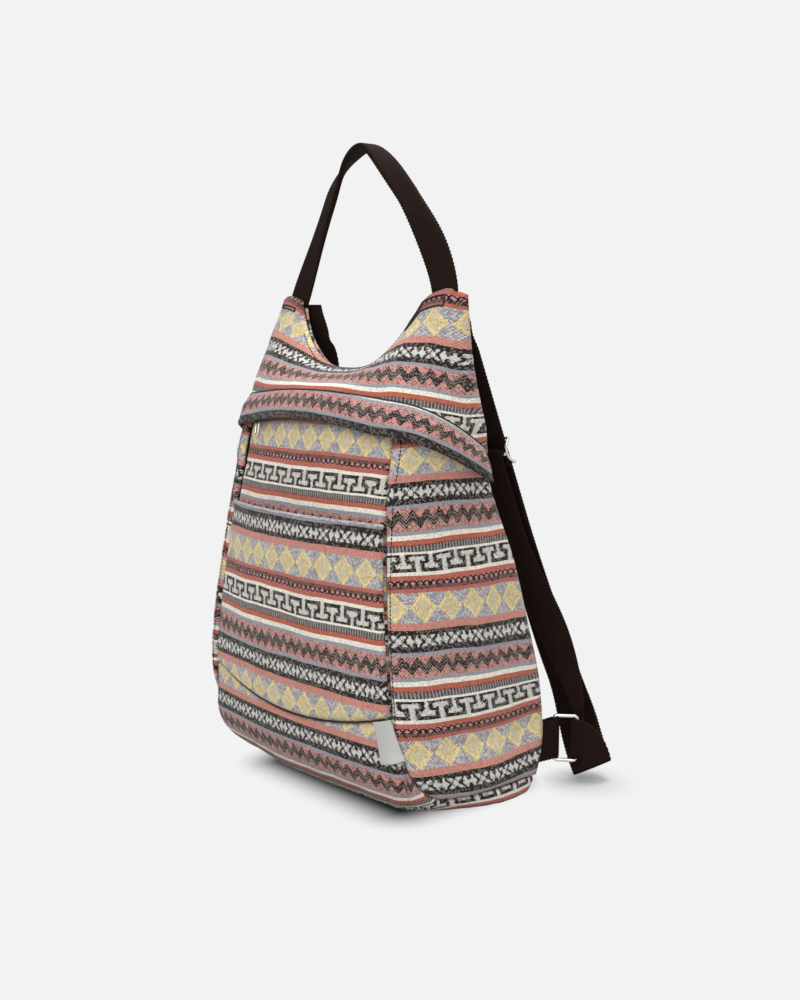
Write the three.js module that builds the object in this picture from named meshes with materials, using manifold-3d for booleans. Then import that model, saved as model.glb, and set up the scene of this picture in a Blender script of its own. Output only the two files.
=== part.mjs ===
// Small soft backpack of woven cloth that opens at the back, against the wearer. Its sewn panels lie on one
// body surface: a front with a slip pocket and a zipped pocket under a flap, two bulging sides, a rounded
// base, a flat slanted back with the main zip, and a yoke that ends in two horns. Webbing and metal rings
// carry it. Millimetres, +Z up, front towards -Y, origin on the floor below the middle of the horns.

import * as THREE from "three";
import Module from "manifold-3d";
import { mergeVertices } from "three/addons/utils/BufferGeometryUtils.js";

// Cloth, webbing and clearances
const CLOTH = 2.4; // woven face and lining together
const LINING = 0.8; // pocket lining and label
const SEAM = 0.4; // clearance between two sewn neighbours
const TURN_IN = 0.8; // how far a panel stops short of a creased seam
const WEBBING_WIDTH = 30;
const WEBBING = 2; // webbing thickness

// Body, measured at the hip, where it is fullest, and at the arch seam under the flap
const HIP_HEIGHT = 75;
const ARCH_HEIGHT = 292; // arch seam at the front centre
const FRONT_WIDTH_HIP = 221; // between the two front seams
const FRONT_WIDTH_ARCH = 162;
const FRONT_REACH_HIP = 68; // front seams ahead of the horns
const FRONT_REACH_ARCH = 43;
const CROWN = 9; // bulge of the front ahead of its seams
const BACK_WIDTH_HIP = 244; // between the two back seams
const BACK_WIDTH_ARCH = 217;
const BACK_REACH_HIP = 69; // back behind the horns
const BACK_REACH_ARCH = 12;
const CORNER_HANDLE = 26; // roundness of the front corners
const CORNER_ANGLE = 30; // degrees, where the side leaves the front seam
const SIDE_ANGLE = 98; // degrees, where the side meets the back seam
const SIDE_FULLNESS = 0.45; // length of the side's rear curve handle over the depth
const ARCH_DROP_FRONT = 5.5; // fall of the arch seam from the centre to the front seams
const ARCH_DROP_CORNER = 10; // further fall that carries this slope round the corner
const ARCH_DROP_SIDE = 25; // further fall towards the back seam

// Base
const BASE_ROUND = 42; // height of the rounded bottom edge
const BASE_INSET_FRONT = 32; // how far that edge turns in at the floor
const BASE_INSET_SIDE = 6;
const BASE_INSET_BACK = 6;
const BASE_SAG = 7; // how far the loaded sides sag outwards towards the floor
const BASE_MIDDLE = 57; // height of the front base seam at the centre
const BASE_CORNER = 75; // and at the front seams
const BASE_SIDE = 12; // height of the base seam at the sides and back
const BASE_SWEEP = 0.36; // share of the side over which the base seam comes down
const BASE_SWEEP_GAP = 8; // widening of the seam clearance where it runs steeply

// Yoke and horns
const HORN_HEIGHT = 367;
const HORN_OUTER = 108; // half spread of the horns
const HORN_INNER = 75;
const HORN_ROUND_OUTER = 6; // fall of the rounded horn tip at its outer corner
const HORN_ROUND_INNER = 3;
const HORN_SETBACK = -1; // y of the horns' middle plane
const SCOOP_HEIGHT = 313; // lowest point of the scooped top edge
const SCOOP_POWER = 2.6; // how late the scooped edge rises towards the horns
const SCOOP_SETBACK = -10;
const SCOOP_HALF = 1; // half thickness of the two panels where they meet in the scoop

// Flap and slip pocket
const FLAP_OVERLAP = 5; // on the yoke, above the arch seam
const FLAP_DROP = 16; // below the arch seam
const FLAP_LIFT = 5.2; // how far its hem stands off
const POCKET_MOUTH = 205;
const POCKET_GAPE = 8; // how far the mouth stands off at its middle

// Zips: distances across a zip from its middle line, and depths below the cloth's outer face
const ZIP_OPENING = 8; // half width of the band left open in the cloth
const TAPE_REACH = 9.4;
const TAPE_BEND = 6;
const TAPE_EDGE_DEPTH = CLOTH + 2 * SEAM;
const TAPE_DEPTH = 4.85;
const TAPE = 0.8;
const COIL_HALF = 2;
const COIL_TOP = 4.6;
const COIL_BOTTOM = 6.2;
const SLIDER_LENGTH = 12;
const SLIDER_WIDTH = 8.6;
const SLIDER_TOP = 1; // depth of the slider's top face
const PEG_RADIUS = 1.2;
const PEG_HEAD_RADIUS = 2.2;
const PEG_HEAD = 0.5;
const PULLER_LENGTH = 26;
const PULLER_WIDTH = 7;
const PULLER_WIRE = 1.7;
const PULLER_LIFT = 0.4; // clearance from the cloth
const PULLER = 1.6; // thickness
const ZIP_STOP = 7; // from the end of the coil to the closed slider's middle
const BACK_ZIP_HEIGHT = 205;
const BACK_ZIP_MARGIN = 9.3; // from each back seam to the end of the coil

// Handle
const HANDLE_APEX = [2, 477]; // x and z, a little off the middle
const HANDLE_MOUTH_LEFT = -83; // x where the straight left leg leaves its horn
const HANDLE_KNEE_LEFT = [-43.6, 438]; // where it turns to the apex
const HANDLE_KNEE_RIGHT = [49, 438]; // and where the curved right leg does
const HANDLE_TAIL = 24; // height sewn inside each horn
const HANDLE_LEFT_WIDTH = 22; // gathered in the left horn
const GRIP_WIDTH = 15; // folded double between the knees
const GRIP_THICKNESS = 4.4;

// Shoulder straps, rings and adjusters, right side; the left is its mirror image
const STRAP_X = 93;
const STRAP_SEWN = 20; // length sewn on the back of the horn
const RUN_TOP = [93.5, 15, 325]; // straight run that the adjuster slides on
const RUN_BOTTOM = [96.5, 62, 205];
const FOLD_DROP = [9, 8.7, -22.5]; // from the ring to the middle of the crease where the slack comes to the floor
const FOLD_SIDE = [0.6, 0.7, 0.386]; // direction of the crease
const FOLD_RISE = [-0.77, 0.385, 0.5]; // direction in which the main run rises from it
const LOOP_DOWN = [-0.1, 0.45, -0.9]; // direction in which the loop from the ring comes down to it
const HANG = [104, 105, 92]; // where the slack of the main run starts to swing out to the crease
const HANG_DOWN = [0.1, 0.38, -0.92]; // its direction there
const ANCHOR_INSET = 3; // from the side of the hip
const ANCHOR_HEIGHT = 32;
const ANCHOR_LENGTH = 18; // from the back to the ring's bar
const RING_HEIGHT = 38;
const RING_LENGTH = 20;
const RING_YAW = 50; // degrees, how far the ring is turned outwards
const RING_WIRE = 3;
const RING_CORNER = 2.2;
const WRAP_GAP = 0.35; // webbing to the bar that it wraps
const BAR_STRAIGHT = 3; // upright webbing before and after a bar
const ADJUSTER_SHARE = 0.6; // rest place down the straight run
const ADJUSTER_LENGTH = 22;
const ADJUSTER_BAR = 2.2;
const ADJUSTER_RAIL = 3;
const TAIL_LENGTH = 12; // sewn tail behind the adjuster's middle bar

// Label
const LABEL_WIDTH = 17;
const LABEL_HEIGHT = 29;
const LABEL_LEFT = 16; // its upper left corner, from the right front seam
const LABEL_SLANT = 9; // how far its lower end leans round the corner

const wasm = await Module();
wasm.setup();

const { lerp, clamp, smoothstep, degToRad } = THREE.MathUtils;
const vector = (x, y, z) => new THREE.Vector3(x, y, z);
const ahead = (from, direction, length) => from.clone().addScaledVector(direction, length);
const spread = (from, to, count) => Array.from({ length: count + 1 }, (_, i) => lerp(from, to, i / count));

// Turns every face of a closed body outwards
function outward(geometry) {
  const position = geometry.attributes.position;
  const index = geometry.index.array;
  const corner = (i) => vector().fromBufferAttribute(position, index[i]);
  let volume = 0;
  for (let i = 0; i < index.length; i += 3) {
    volume += corner(i).dot(corner(i + 1).cross(corner(i + 2)));
  }
  if (volume < 0) index.reverse();
  return geometry;
}

// A closed body through a row of equal rings. An open row is closed by a strip of quads at each end.
function loft(rings, endless = false) {
  const size = rings[0].length;
  const faces = [];
  const quad = (a, b, c, d) => faces.push(a, b, c, a, c, d);
  const spans = endless ? rings.length : rings.length - 1;
  for (let i = 0; i < spans; i++) {
    const near = i * size;
    const far = ((i + 1) % rings.length) * size;
    for (let j = 0; j < size; j++) {
      const next = (j + 1) % size;
      quad(near + j, near + next, far + next, far + j);
    }
  }
  const last = (rings.length - 1) * size;
  for (let j = 0; !endless && j < size / 2 - 1; j++) {
    const opposite = size - 1 - j;
    quad(j, opposite, opposite - 1, j + 1);
    quad(last + j, last + j + 1, last + opposite - 1, last + opposite);
  }
  const geometry = new THREE.BufferGeometry();
  const coordinates = rings.flat().flatMap((p) => [p.x, p.y, p.z]);
  geometry.setAttribute("position", new THREE.Float32BufferAttribute(coordinates, 3));
  geometry.setIndex(faces);
  return outward(geometry);
}

// Outward normal of a surface whose first parameter runs anticlockwise round the body and second runs up
function normalAt(surface, u, v) {
  const step = 1e-3;
  const along = surface(u + step, v).sub(surface(u - step, v));
  const up = surface(u, v + step).sub(surface(u, v - step));
  return along.cross(up).normalize();
}

const raised = (surface, lift) => (u, v) =>
  ahead(surface(u, v), normalAt(surface, u, v), typeof lift === "function" ? lift(u, v) : lift);

// A sewn sheet on a surface, with its thickness on the inner side
function sheet(surface, columns, rows, thickness) {
  const inner = raised(surface, -thickness);
  const rings = rows.map((v) => [
    ...columns.map((u) => surface(u, v)),
    ...columns.map((u) => inner(u, v)).reverse(),
  ]);
  return loft(rings);
}

function solid(geometry) {
  const bare = geometry.clone();
  bare.deleteAttribute("normal");
  bare.deleteAttribute("uv");
  const merged = mergeVertices(bare, 1e-4);
  const vertProperties = new Float32Array(merged.attributes.position.array);
  const triVerts = new Uint32Array(merged.index.array);
  return new wasm.Manifold(new wasm.Mesh({ numProp: 3, vertProperties, triVerts }));
}

function join(...geometries) {
  const [first, ...rest] = geometries.map(solid);
  const mesh = rest.reduce((whole, next) => whole.add(next), first).getMesh();
  const geometry = new THREE.BufferGeometry();
  geometry.setAttribute("position", new THREE.Float32BufferAttribute(mesh.vertProperties, 3));
  geometry.setIndex(Array.from(mesh.triVerts));
  return geometry;
}

const finish = (color, roughness, metalness) => new THREE.MeshStandardMaterial({ color, roughness, metalness });
const cloth = finish(0xb08a7c, 0.9, 0);
const liningCloth = finish(0x2b2524, 0.9, 0);
const webbingYarn = finish(0x3a2820, 0.85, 0);
const tapeCloth = finish(0x1d1918, 0.9, 0);
const nickel = finish(0xc9c8c4, 0.25, 1);
const satin = finish(0xb9bfbd, 0.5, 0);

const backpack = new THREE.Group();

function add(name, geometry, material) {
  const mesh = new THREE.Mesh(geometry, material);
  mesh.name = name;
  backpack.add(mesh);
  return mesh;
}

// Body surface: plan sections from the floor to the arch seam
const rise = (z) => clamp((z - HIP_HEIGHT) / (ARCH_HEIGHT - HIP_HEIGHT), 0, 1.2);

// Share of the inset that the rounded bottom edge has reached at a height
function baseTurn(z) {
  const below = clamp((BASE_ROUND - z) / BASE_ROUND, 0, 1);
  return 1 - Math.sqrt(1 - below ** 2);
}

function frontSeam(z) {
  const inset = BASE_INSET_FRONT * baseTurn(z);
  const x = lerp(FRONT_WIDTH_HIP, FRONT_WIDTH_ARCH, rise(z)) / 2 - inset;
  const y = -lerp(FRONT_REACH_HIP, FRONT_REACH_ARCH, rise(z) ** 2) + inset;
  return vector(x, y, z);
}

function backSeam(z) {
  const easing = smoothstep(z, HIP_HEIGHT, ARCH_HEIGHT);
  const sag = BASE_SAG * Math.max(0, 1 - z / HIP_HEIGHT) ** 2;
  const x = lerp(BACK_WIDTH_HIP, BACK_WIDTH_ARCH, easing) / 2 + sag - BASE_INSET_SIDE * baseTurn(z);
  const y = lerp(BACK_REACH_HIP, BACK_REACH_ARCH, easing) - BASE_INSET_BACK * baseTurn(z);
  return vector(x, y, z);
}

// across runs from -1 to 1 between the front seams
function frontPoint(across, z) {
  const seam = frontSeam(z);
  return vector(seam.x * across, seam.y - CROWN * (1 - across ** 2), z);
}

// along runs from 0 at the right front seam to 1 at the right back seam
function sideHandle(z) {
  return SIDE_FULLNESS * (backSeam(z).y - frontSeam(z).y);
}

function sidePoint(along, z) {
  const front = frontSeam(z);
  const back = backSeam(z);
  const leave = degToRad(CORNER_ANGLE);
  const meet = degToRad(SIDE_ANGLE);
  const near = ahead(front, vector(Math.cos(leave), Math.sin(leave), 0), CORNER_HANDLE);
  const far = ahead(back, vector(Math.cos(meet), Math.sin(meet), 0), -sideHandle(z));
  return new THREE.CubicBezierCurve3(front, near, far, back).getPoint(along);
}

// The side stops where the back panel lies over its edge
const sideEnd = (z) => 1 - (CLOTH + SEAM) / (3 * sideHandle(z) * Math.sin(degToRad(SIDE_ANGLE)));
const sideStart = TURN_IN / (3 * CORNER_HANDLE);
const frontEdge = (z) => 1 - TURN_IN / frontSeam(z).x;

function backPoint(across, z) {
  const seam = backSeam(z);
  return vector(seam.x * across, seam.y, z);
}

// wrap runs from -1 to 1 round the front, from the left back seam to the right one
const FRONT_SHARE = HORN_INNER / HORN_OUTER;
const onSide = (wrap) => (Math.abs(wrap) - FRONT_SHARE) / (1 - FRONT_SHARE);

function wrapPoint(wrap, z) {
  if (onSide(wrap) <= 0) return frontPoint(wrap / FRONT_SHARE, z);
  const point = sidePoint(onSide(wrap), z);
  point.x *= Math.sign(wrap);
  return point;
}

function archSide(along) {
  return ARCH_HEIGHT - ARCH_DROP_FRONT - ARCH_DROP_CORNER * along - ARCH_DROP_SIDE * along ** 2;
}

function archHeight(wrap) {
  if (onSide(wrap) > 0) return archSide(onSide(wrap));
  return ARCH_HEIGHT - ARCH_DROP_FRONT * (wrap / FRONT_SHARE) ** 2;
}

const baseFront = (across) => lerp(BASE_MIDDLE, BASE_CORNER, across ** 2);
const sweep = (along) => Math.max(0, 1 - along / BASE_SWEEP);
const baseSide = (along) => lerp(BASE_SIDE, BASE_CORNER, sweep(along) ** 2);
const sweepGap = (along) => SEAM * (1 + BASE_SWEEP_GAP * sweep(along));

// Base: one bowl, outside from the floor to its seam and back down inside
const FRONT_COLUMNS = 14;
const sideShares = [0, 0.05, 0.1, 0.15, 0.2, 0.26, 0.36, 0.5, 0.65, 0.82, 1];
const alongSide = (share, z) => lerp(sideStart, sideEnd(z), share);

function baseColumns() {
  const mirrored = (p) => vector(-p.x, p.y, p.z);
  const front = (across) => ({ rim: baseFront(across), at: (z) => frontPoint(across, z) });
  const right = (share) => ({
    rim: baseSide(alongSide(share, BASE_SIDE)),
    at: (z) => sidePoint(alongSide(share, z), z),
  });
  const left = ({ rim, at }) => ({ rim, at: (z) => mirrored(at(z)) });
  const corner = { rim: BASE_SIDE, at: backSeam };
  const side = [...sideShares.map(right), corner];
  return [...spread(-1, 1, FRONT_COLUMNS).map(front), ...side, ...side.map(left).reverse()];
}

function basePanel() {
  const columns = baseColumns();
  const height = (column, level) => lerp(0, column.rim - SEAM, level);
  const surface = (u, level) => {
    const column = columns[(Math.round(u) + columns.length) % columns.length];
    return column.at(height(column, level));
  };
  const normal = (u, level) => {
    const along = surface(u + 1, level).sub(surface(u - 1, level));
    const up = surface(u, level + 1e-3).sub(surface(u, Math.max(0, level - 1e-3)));
    return along.cross(up).normalize();
  };
  const places = columns.map((_, i) => i);
  const levels = [0, 0.08, 0.25, 0.5, 0.75, 1];
  const outer = levels.map((level) => places.map((u) => surface(u, level)));
  const inner = levels.map((level) => places.map((u) => ahead(surface(u, level), normal(u, level), -CLOTH)));
  return loft([...outer, ...inner.reverse()]);
}

add("base_panel", basePanel(), cloth);

// Front, slip pocket and sides
const frontTop = (across) => archHeight(across * FRONT_SHARE) - 2 * ZIP_OPENING;

function frontSurface(across, up) {
  const inner = across * frontEdge(lerp(BASE_CORNER, ARCH_HEIGHT, up));
  return frontPoint(inner, lerp(baseFront(inner) + SEAM, frontTop(inner), up));
}

function pocketSurface(across, up) {
  const inner = across * frontEdge(lerp(BASE_CORNER, POCKET_MOUTH, up));
  return frontPoint(inner, lerp(baseFront(inner) + SEAM, POCKET_MOUTH, up));
}

const pocketLift = (across, up) => SEAM + CLOTH + POCKET_GAPE * (1 - across ** 2) * up ** 2;

function sideSurface(share, up) {
  const along = alongSide(share, lerp(BASE_SIDE, archSide(share), up));
  return sidePoint(along, lerp(baseSide(along) + sweepGap(along), archSide(along) - SEAM, up));
}

const mirror = (surface) => (u, v) => {
  const point = surface(-u, v);
  point.x *= -1;
  return point;
};

const frontColumns = spread(-1, 1, FRONT_COLUMNS);
add("front_panel", sheet(frontSurface, frontColumns, spread(0, 1, 8), CLOTH), cloth);
add("slip_pocket", sheet(raised(pocketSurface, pocketLift), frontColumns, spread(0, 1, 8), CLOTH), cloth);
const leftShares = sideShares.map((share) => -share).reverse();
add("side_panel_right", sheet(sideSurface, sideShares, spread(0, 1, 10), CLOTH), cloth);
add("side_panel_left", sheet(mirror(sideSurface), leftShares, spread(0, 1, 10), CLOTH), cloth);

// Lining of the zipped pocket, lying flat behind the front panel
const LINING_BOTTOM = 115;
const LINING_SIDE = 0.9; // share of the front's width

function liningSurface(across, up) {
  const below = TAPE_REACH - ZIP_OPENING + 2 * SEAM;
  return frontPoint(across, lerp(LINING_BOTTOM, frontTop(across) - below, up));
}

const liningColumns = spread(-LINING_SIDE, LINING_SIDE, 10);
const liningSheet = sheet(raised(liningSurface, -CLOTH - SEAM), liningColumns, spread(0, 1, 5), LINING);
add("front_pocket_lining", liningSheet, liningCloth);

// Yoke and upper back: two skins that meet along the scooped top edge and hold the webbing in the horns
const HORN_HALF = CLOTH + SEAM + WEBBING / 2;

function topEdge(wrap, skin) {
  const towardsHorn = clamp(Math.abs(wrap) / FRONT_SHARE, 0, 1);
  const share = towardsHorn ** 2;
  const along = Math.max(0, onSide(wrap));
  const scoop = lerp(SCOOP_HEIGHT, HORN_HEIGHT - HORN_ROUND_INNER, towardsHorn ** SCOOP_POWER);
  const tip = HORN_HEIGHT - HORN_ROUND_INNER * (1 - along) ** 3 - HORN_ROUND_OUTER * along ** 4;
  const middle = lerp(SCOOP_SETBACK, HORN_SETBACK, share);
  const half = lerp(SCOOP_HALF, HORN_HALF, share);
  return vector(HORN_OUTER * wrap, middle + skin * half, along > 0 ? tip : scoop);
}

// Direction in which a skin leaves the top edge: almost level over the shoulder, steep down a horn
function topLean(wrap, skin) {
  const share = clamp(Math.abs(wrap) / FRONT_SHARE, 0, 1) ** 2;
  const shoulder = vector(0, skin * 0.96, -0.28);
  const horn = vector(0, skin * (skin < 0 ? 0.34 : 0.16), -0.95);
  return shoulder.lerp(horn, share).normalize();
}

const YOKE_HANDLE = [13, 34]; // curve handles at the centre and at the horns
const SHOULDER_HANDLE = [20, 34];

function yokeSurface(wrap, up) {
  const share = clamp(Math.abs(wrap) / FRONT_SHARE, 0, 1) ** 2;
  const foot = wrapPoint(wrap, archHeight(wrap));
  const climb = wrapPoint(wrap, archHeight(wrap) + 1).sub(foot).normalize();
  const top = topEdge(wrap, -1);
  const low = ahead(foot, climb, lerp(...YOKE_HANDLE, share));
  const high = ahead(top, topLean(wrap, -1), lerp(...SHOULDER_HANDLE, share));
  return new THREE.CubicBezierCurve3(foot, low, high, top).getPoint(up);
}

const yokeEnd = lerp(FRONT_SHARE, 1, sideEnd(archSide(1)));
const wrapColumns = [
  ...spread(-yokeEnd, -FRONT_SHARE, 6),
  ...spread(-FRONT_SHARE, FRONT_SHARE, FRONT_COLUMNS).slice(1, -1),
  ...spread(FRONT_SHARE, yokeEnd, 6),
];
add("yoke_panel", sheet(yokeSurface, wrapColumns, spread(0, 1, 7), CLOTH), cloth);

// The flap is sewn on the yoke above the arch seam and hangs over the zip, round to both back seams
function flapSurface(wrap, up) {
  const z = archHeight(wrap) + lerp(-FLAP_DROP, FLAP_OVERLAP, up);
  if (z <= archHeight(wrap)) return wrapPoint(wrap, z);
  const foot = wrapPoint(wrap, archHeight(wrap));
  const climb = yokeSurface(wrap, 1e-3).sub(foot);
  return ahead(foot, climb, (z - archHeight(wrap)) / climb.z);
}

function flapLift(wrap, up) {
  const below = Math.max(0, FLAP_DROP - up * (FLAP_DROP + FLAP_OVERLAP));
  return SEAM + CLOTH + FLAP_LIFT * Math.sqrt(below / FLAP_DROP);
}

const flapRows = [0, 0.25, 0.5, FLAP_DROP / (FLAP_DROP + FLAP_OVERLAP), 1];
add("front_flap", sheet(raised(flapSurface, flapLift), wrapColumns, flapRows, CLOTH), cloth);

// Back: ruled straight across, up to the level of the arch seam, then up to the top edge
const backLevel = archSide(1);

function upperBack(wrap, up) {
  const start = BACK_ZIP_HEIGHT + zipRise;
  const share = clamp(Math.abs(wrap) / FRONT_SHARE, 0, 1) ** 2;
  if (up <= UPPER_BACK_SPLIT) return backPoint(wrap, lerp(start, backLevel, up / UPPER_BACK_SPLIT));
  const foot = backPoint(wrap, backLevel);
  const climb = backPoint(wrap, backLevel + 1).sub(foot).normalize();
  const top = topEdge(wrap, 1);
  const low = ahead(foot, climb, lerp(...UPPER_BACK_HANDLE, share));
  const high = ahead(top, topLean(wrap, 1), lerp(...UPPER_BACK_HANDLE, share));
  const curve = new THREE.CubicBezierCurve3(foot, low, high, top);
  return curve.getPoint((up - UPPER_BACK_SPLIT) / (1 - UPPER_BACK_SPLIT));
}

const UPPER_BACK_SPLIT = 0.3;
const UPPER_BACK_HANDLE = [18, 34];

// Local frame of the back zip: along it, out of the cloth and up the cloth
const backSlope = backPoint(0, BACK_ZIP_HEIGHT + 1).sub(backPoint(0, BACK_ZIP_HEIGHT - 1)).normalize();
const backOut = vector(0, backSlope.z, -backSlope.y);
const zipRise = ZIP_OPENING * backSlope.z;

function lowerBack(across, up) {
  const z = lerp(BASE_SIDE + SEAM, BACK_ZIP_HEIGHT - zipRise, up);
  return backPoint(across, z);
}

const reversed = (surface) => (u, v) => surface(-u, v);
const backRows = [...spread(0, UPPER_BACK_SPLIT, 2), ...spread(UPPER_BACK_SPLIT, 1, 6).slice(1)];
const backColumns = wrapColumns.map((u) => u / yokeEnd);
add("back_panel_upper", sheet(reversed(upperBack), backColumns, backRows, CLOTH), cloth);
add("back_panel_lower", sheet(reversed(lowerBack), spread(-1, 1, 6), spread(0, 1, 9), CLOTH), cloth);

// Zips. A track gives the place and the local axes at each step along the zip.
function trackFrame(at, along, out) {
  const up = out.clone().cross(along);
  return { at, along, out, up, basis: new THREE.Matrix4().makeBasis(along, up, out) };
}

// Arc through the middle of the zip band at the front centre and at both front seams
const arcTop = frontPoint(0, archHeight(0) - ZIP_OPENING);
const arcEnd = frontPoint(1, archHeight(FRONT_SHARE) - ZIP_OPENING);
const arcRise = vector(0, arcTop.y - arcEnd.y, arcTop.z - arcEnd.z);
const arcRadius = (arcEnd.x ** 2 + arcRise.lengthSq()) / (2 * arcRise.length());
const arcUp = arcRise.clone().normalize();
const arcAxis = arcUp.clone().cross(vector(1, 0, 0));
const arcCentre = ahead(arcTop, arcUp, -arcRadius);
const frontSlope = frontPoint(0, arcTop.z + 1).sub(frontPoint(0, arcTop.z - 1)).normalize();
const frontOut = vector(0, -frontSlope.z, frontSlope.y);

function frontTrack(x) {
  const angle = Math.asin(x / arcRadius);
  const turned = (v) => v.clone().applyAxisAngle(arcAxis, angle);
  return trackFrame(ahead(arcCentre, turned(arcUp), arcRadius), turned(vector(1, 0, 0)), turned(frontOut));
}

const backTrack = (x) => trackFrame(vector(x, backPoint(0, BACK_ZIP_HEIGHT).y, BACK_ZIP_HEIGHT), vector(-1, 0, 0), backOut);

const tapeSection = [
  [COIL_HALF + SEAM, -TAPE_DEPTH - TAPE],
  [TAPE_BEND, -TAPE_DEPTH - TAPE],
  [TAPE_REACH, -TAPE_EDGE_DEPTH - TAPE],
  [TAPE_REACH, -TAPE_EDGE_DEPTH],
  [TAPE_BEND, -TAPE_DEPTH],
  [COIL_HALF + SEAM, -TAPE_DEPTH],
];
const coilSection = [
  [-COIL_HALF, -COIL_BOTTOM],
  [COIL_HALF, -COIL_BOTTOM],
  [COIL_HALF, -COIL_TOP],
  [-COIL_HALF, -COIL_TOP],
];

function zipStrip(track, places, section, side) {
  const rings = places.map((x) => {
    const { at, up, out } = track(x);
    return section.map(([across, depth]) => ahead(ahead(at, up, side * across), out, depth));
  });
  return loft(rings);
}

// lift is the height of the puller's lower face above the track
function sliderGeometry(lift) {
  const nose = SLIDER_WIDTH * 0.3;
  const half = SLIDER_WIDTH / 2;
  const outline = new THREE.Shape();
  outline.moveTo(-SLIDER_LENGTH / 2, -half);
  outline.lineTo(SLIDER_LENGTH / 6, -half);
  outline.lineTo(SLIDER_LENGTH / 2, -nose);
  outline.lineTo(SLIDER_LENGTH / 2, nose);
  outline.lineTo(SLIDER_LENGTH / 6, half);
  outline.lineTo(-SLIDER_LENGTH / 2, half);
  const bottom = -COIL_TOP + WRAP_GAP;
  const body = new THREE.ExtrudeGeometry(outline, { depth: -SLIDER_TOP - bottom, bevelEnabled: false });
  body.translate(0, 0, bottom);
  const peg = (radius, low, high) =>
    new THREE.CylinderGeometry(radius, radius, high - low, 16).rotateX(Math.PI / 2).translate(0, 0, (low + high) / 2);
  const headLow = lift + PULLER + WRAP_GAP;
  const shank = peg(PEG_RADIUS, -SLIDER_TOP - 1, headLow + PEG_HEAD / 2);
  return join(body, shank, peg(PEG_HEAD_RADIUS, headLow, headLow + PEG_HEAD));
}

// A flat wire loop that hangs on the slider's peg
function pullerGeometry(lift) {
  const loopOutline = (path, radius, clockwise) => {
    const top = PULLER_WIDTH / 2 - PULLER_WIRE - PEG_RADIUS - WRAP_GAP;
    const bottom = top - PULLER_LENGTH + PULLER_WIDTH;
    if (!clockwise) {
      path.absarc(0, -top, radius, 0, Math.PI, false);
      path.absarc(0, bottom, radius, Math.PI, 2 * Math.PI, false);
    } else {
      path.absarc(0, -top, radius, Math.PI, 0, true);
      path.absarc(0, bottom, radius, 0, -Math.PI, true);
    }
    path.closePath();
    return path;
  };
  const outline = loopOutline(new THREE.Shape(), PULLER_WIDTH / 2, false);
  outline.holes.push(loopOutline(new THREE.Path(), PULLER_WIDTH / 2 - PULLER_WIRE, true));
  const loop = new THREE.ExtrudeGeometry(outline, { depth: PULLER, bevelEnabled: false, curveSegments: 6 });
  return loop.translate(0, 0, lift);
}

function addZip(name, track, places, rest, swell) {
  add(`${name}_zip_tape_upper`, zipStrip(track, places, tapeSection, 1), tapeCloth);
  add(`${name}_zip_tape_lower`, zipStrip(track, places, tapeSection, -1), tapeCloth);
  add(`${name}_zip_coil`, zipStrip(track, places, coilSection, 1), tapeCloth);
  const { at, basis } = track(rest);
  const slider = add(`${name}_zip_slider`, sliderGeometry(PULLER_LIFT + swell), nickel);
  const puller = add(`${name}_zip_puller`, pullerGeometry(PULLER_LIFT + swell), nickel);
  for (const mesh of [slider, puller]) {
    mesh.position.copy(at);
    mesh.quaternion.setFromRotationMatrix(basis);
  }
}

const frontZipEnd = arcEnd.x - 4 * TURN_IN;
addZip("front", frontTrack, spread(-frontZipEnd, frontZipEnd, 14), ZIP_STOP - frontZipEnd, 0);

// The back swells out below its zip, so its puller is lifted clear of the cloth at the puller's lower end
const backZipEnd = backSeam(BACK_ZIP_HEIGHT).x - BACK_ZIP_MARGIN;
const pullerFoot = BACK_ZIP_HEIGHT - PULLER_LENGTH * backSlope.z;
const backSwell = backPoint(0, pullerFoot).sub(backPoint(0, BACK_ZIP_HEIGHT)).dot(backOut);
addZip("back", backTrack, [-backZipEnd, backZipEnd], backZipEnd - ZIP_STOP, Math.max(0, backSwell));

// Webbing: a flat strap along a chain of curves. Side directions, widths and thicknesses are given at the
// ends of the curves and change smoothly between them. Slanted webbing keeps the side directions as given,
// as it does where it is gathered to turn in its own plane.
function webbing(curves, sides, steps, widths, thicknesses, slanted = false) {
  const rings = [];
  curves.forEach((curve, i) => {
    for (let k = i === 0 ? 0 : 1; k <= steps[i]; k++) {
      const share = k / steps[i];
      const eased = smoothstep(share, 0, 1);
      const tangent = curve.getTangent(share);
      const side = sides[i].clone().lerp(sides[i + 1], eased);
      if (!slanted) side.addScaledVector(tangent, -side.dot(tangent));
      side.normalize();
      const face = tangent.clone().cross(side).normalize();
      const width = lerp(widths[i], widths[i + 1], eased) / 2;
      const half = lerp(thicknesses[i], thicknesses[i + 1], eased) / 2;
      const at = curve.getPoint(share);
      rings.push([
        ahead(ahead(at, side, -width), face, -half),
        ahead(ahead(at, side, width), face, -half),
        ahead(ahead(at, side, width), face, half),
        ahead(ahead(at, side, -width), face, half),
      ]);
    }
  });
  return loft(rings);
}

function evenWebbing(curves, sides, steps, slanted) {
  const even = (value) => sides.map(() => value);
  return webbing(curves, sides, steps, even(WEBBING_WIDTH), even(WEBBING), slanted);
}

const line = (from, to) => new THREE.LineCurve3(from, to);
const bend = (a, b, c, d) => new THREE.CubicBezierCurve3(a, b, c, d);

// Half turn of webbing round an upright bar, in plan, from one angle to another
class BarWrap extends THREE.Curve {
  constructor(bar, radius, from, to) {
    super();
    Object.assign(this, { bar, radius, from, to });
  }

  getPoint(share) {
    const angle = lerp(this.from, this.to, share);
    return this.bar.clone().add(vector(Math.cos(angle), Math.sin(angle), 0).multiplyScalar(this.radius));
  }
}

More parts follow.
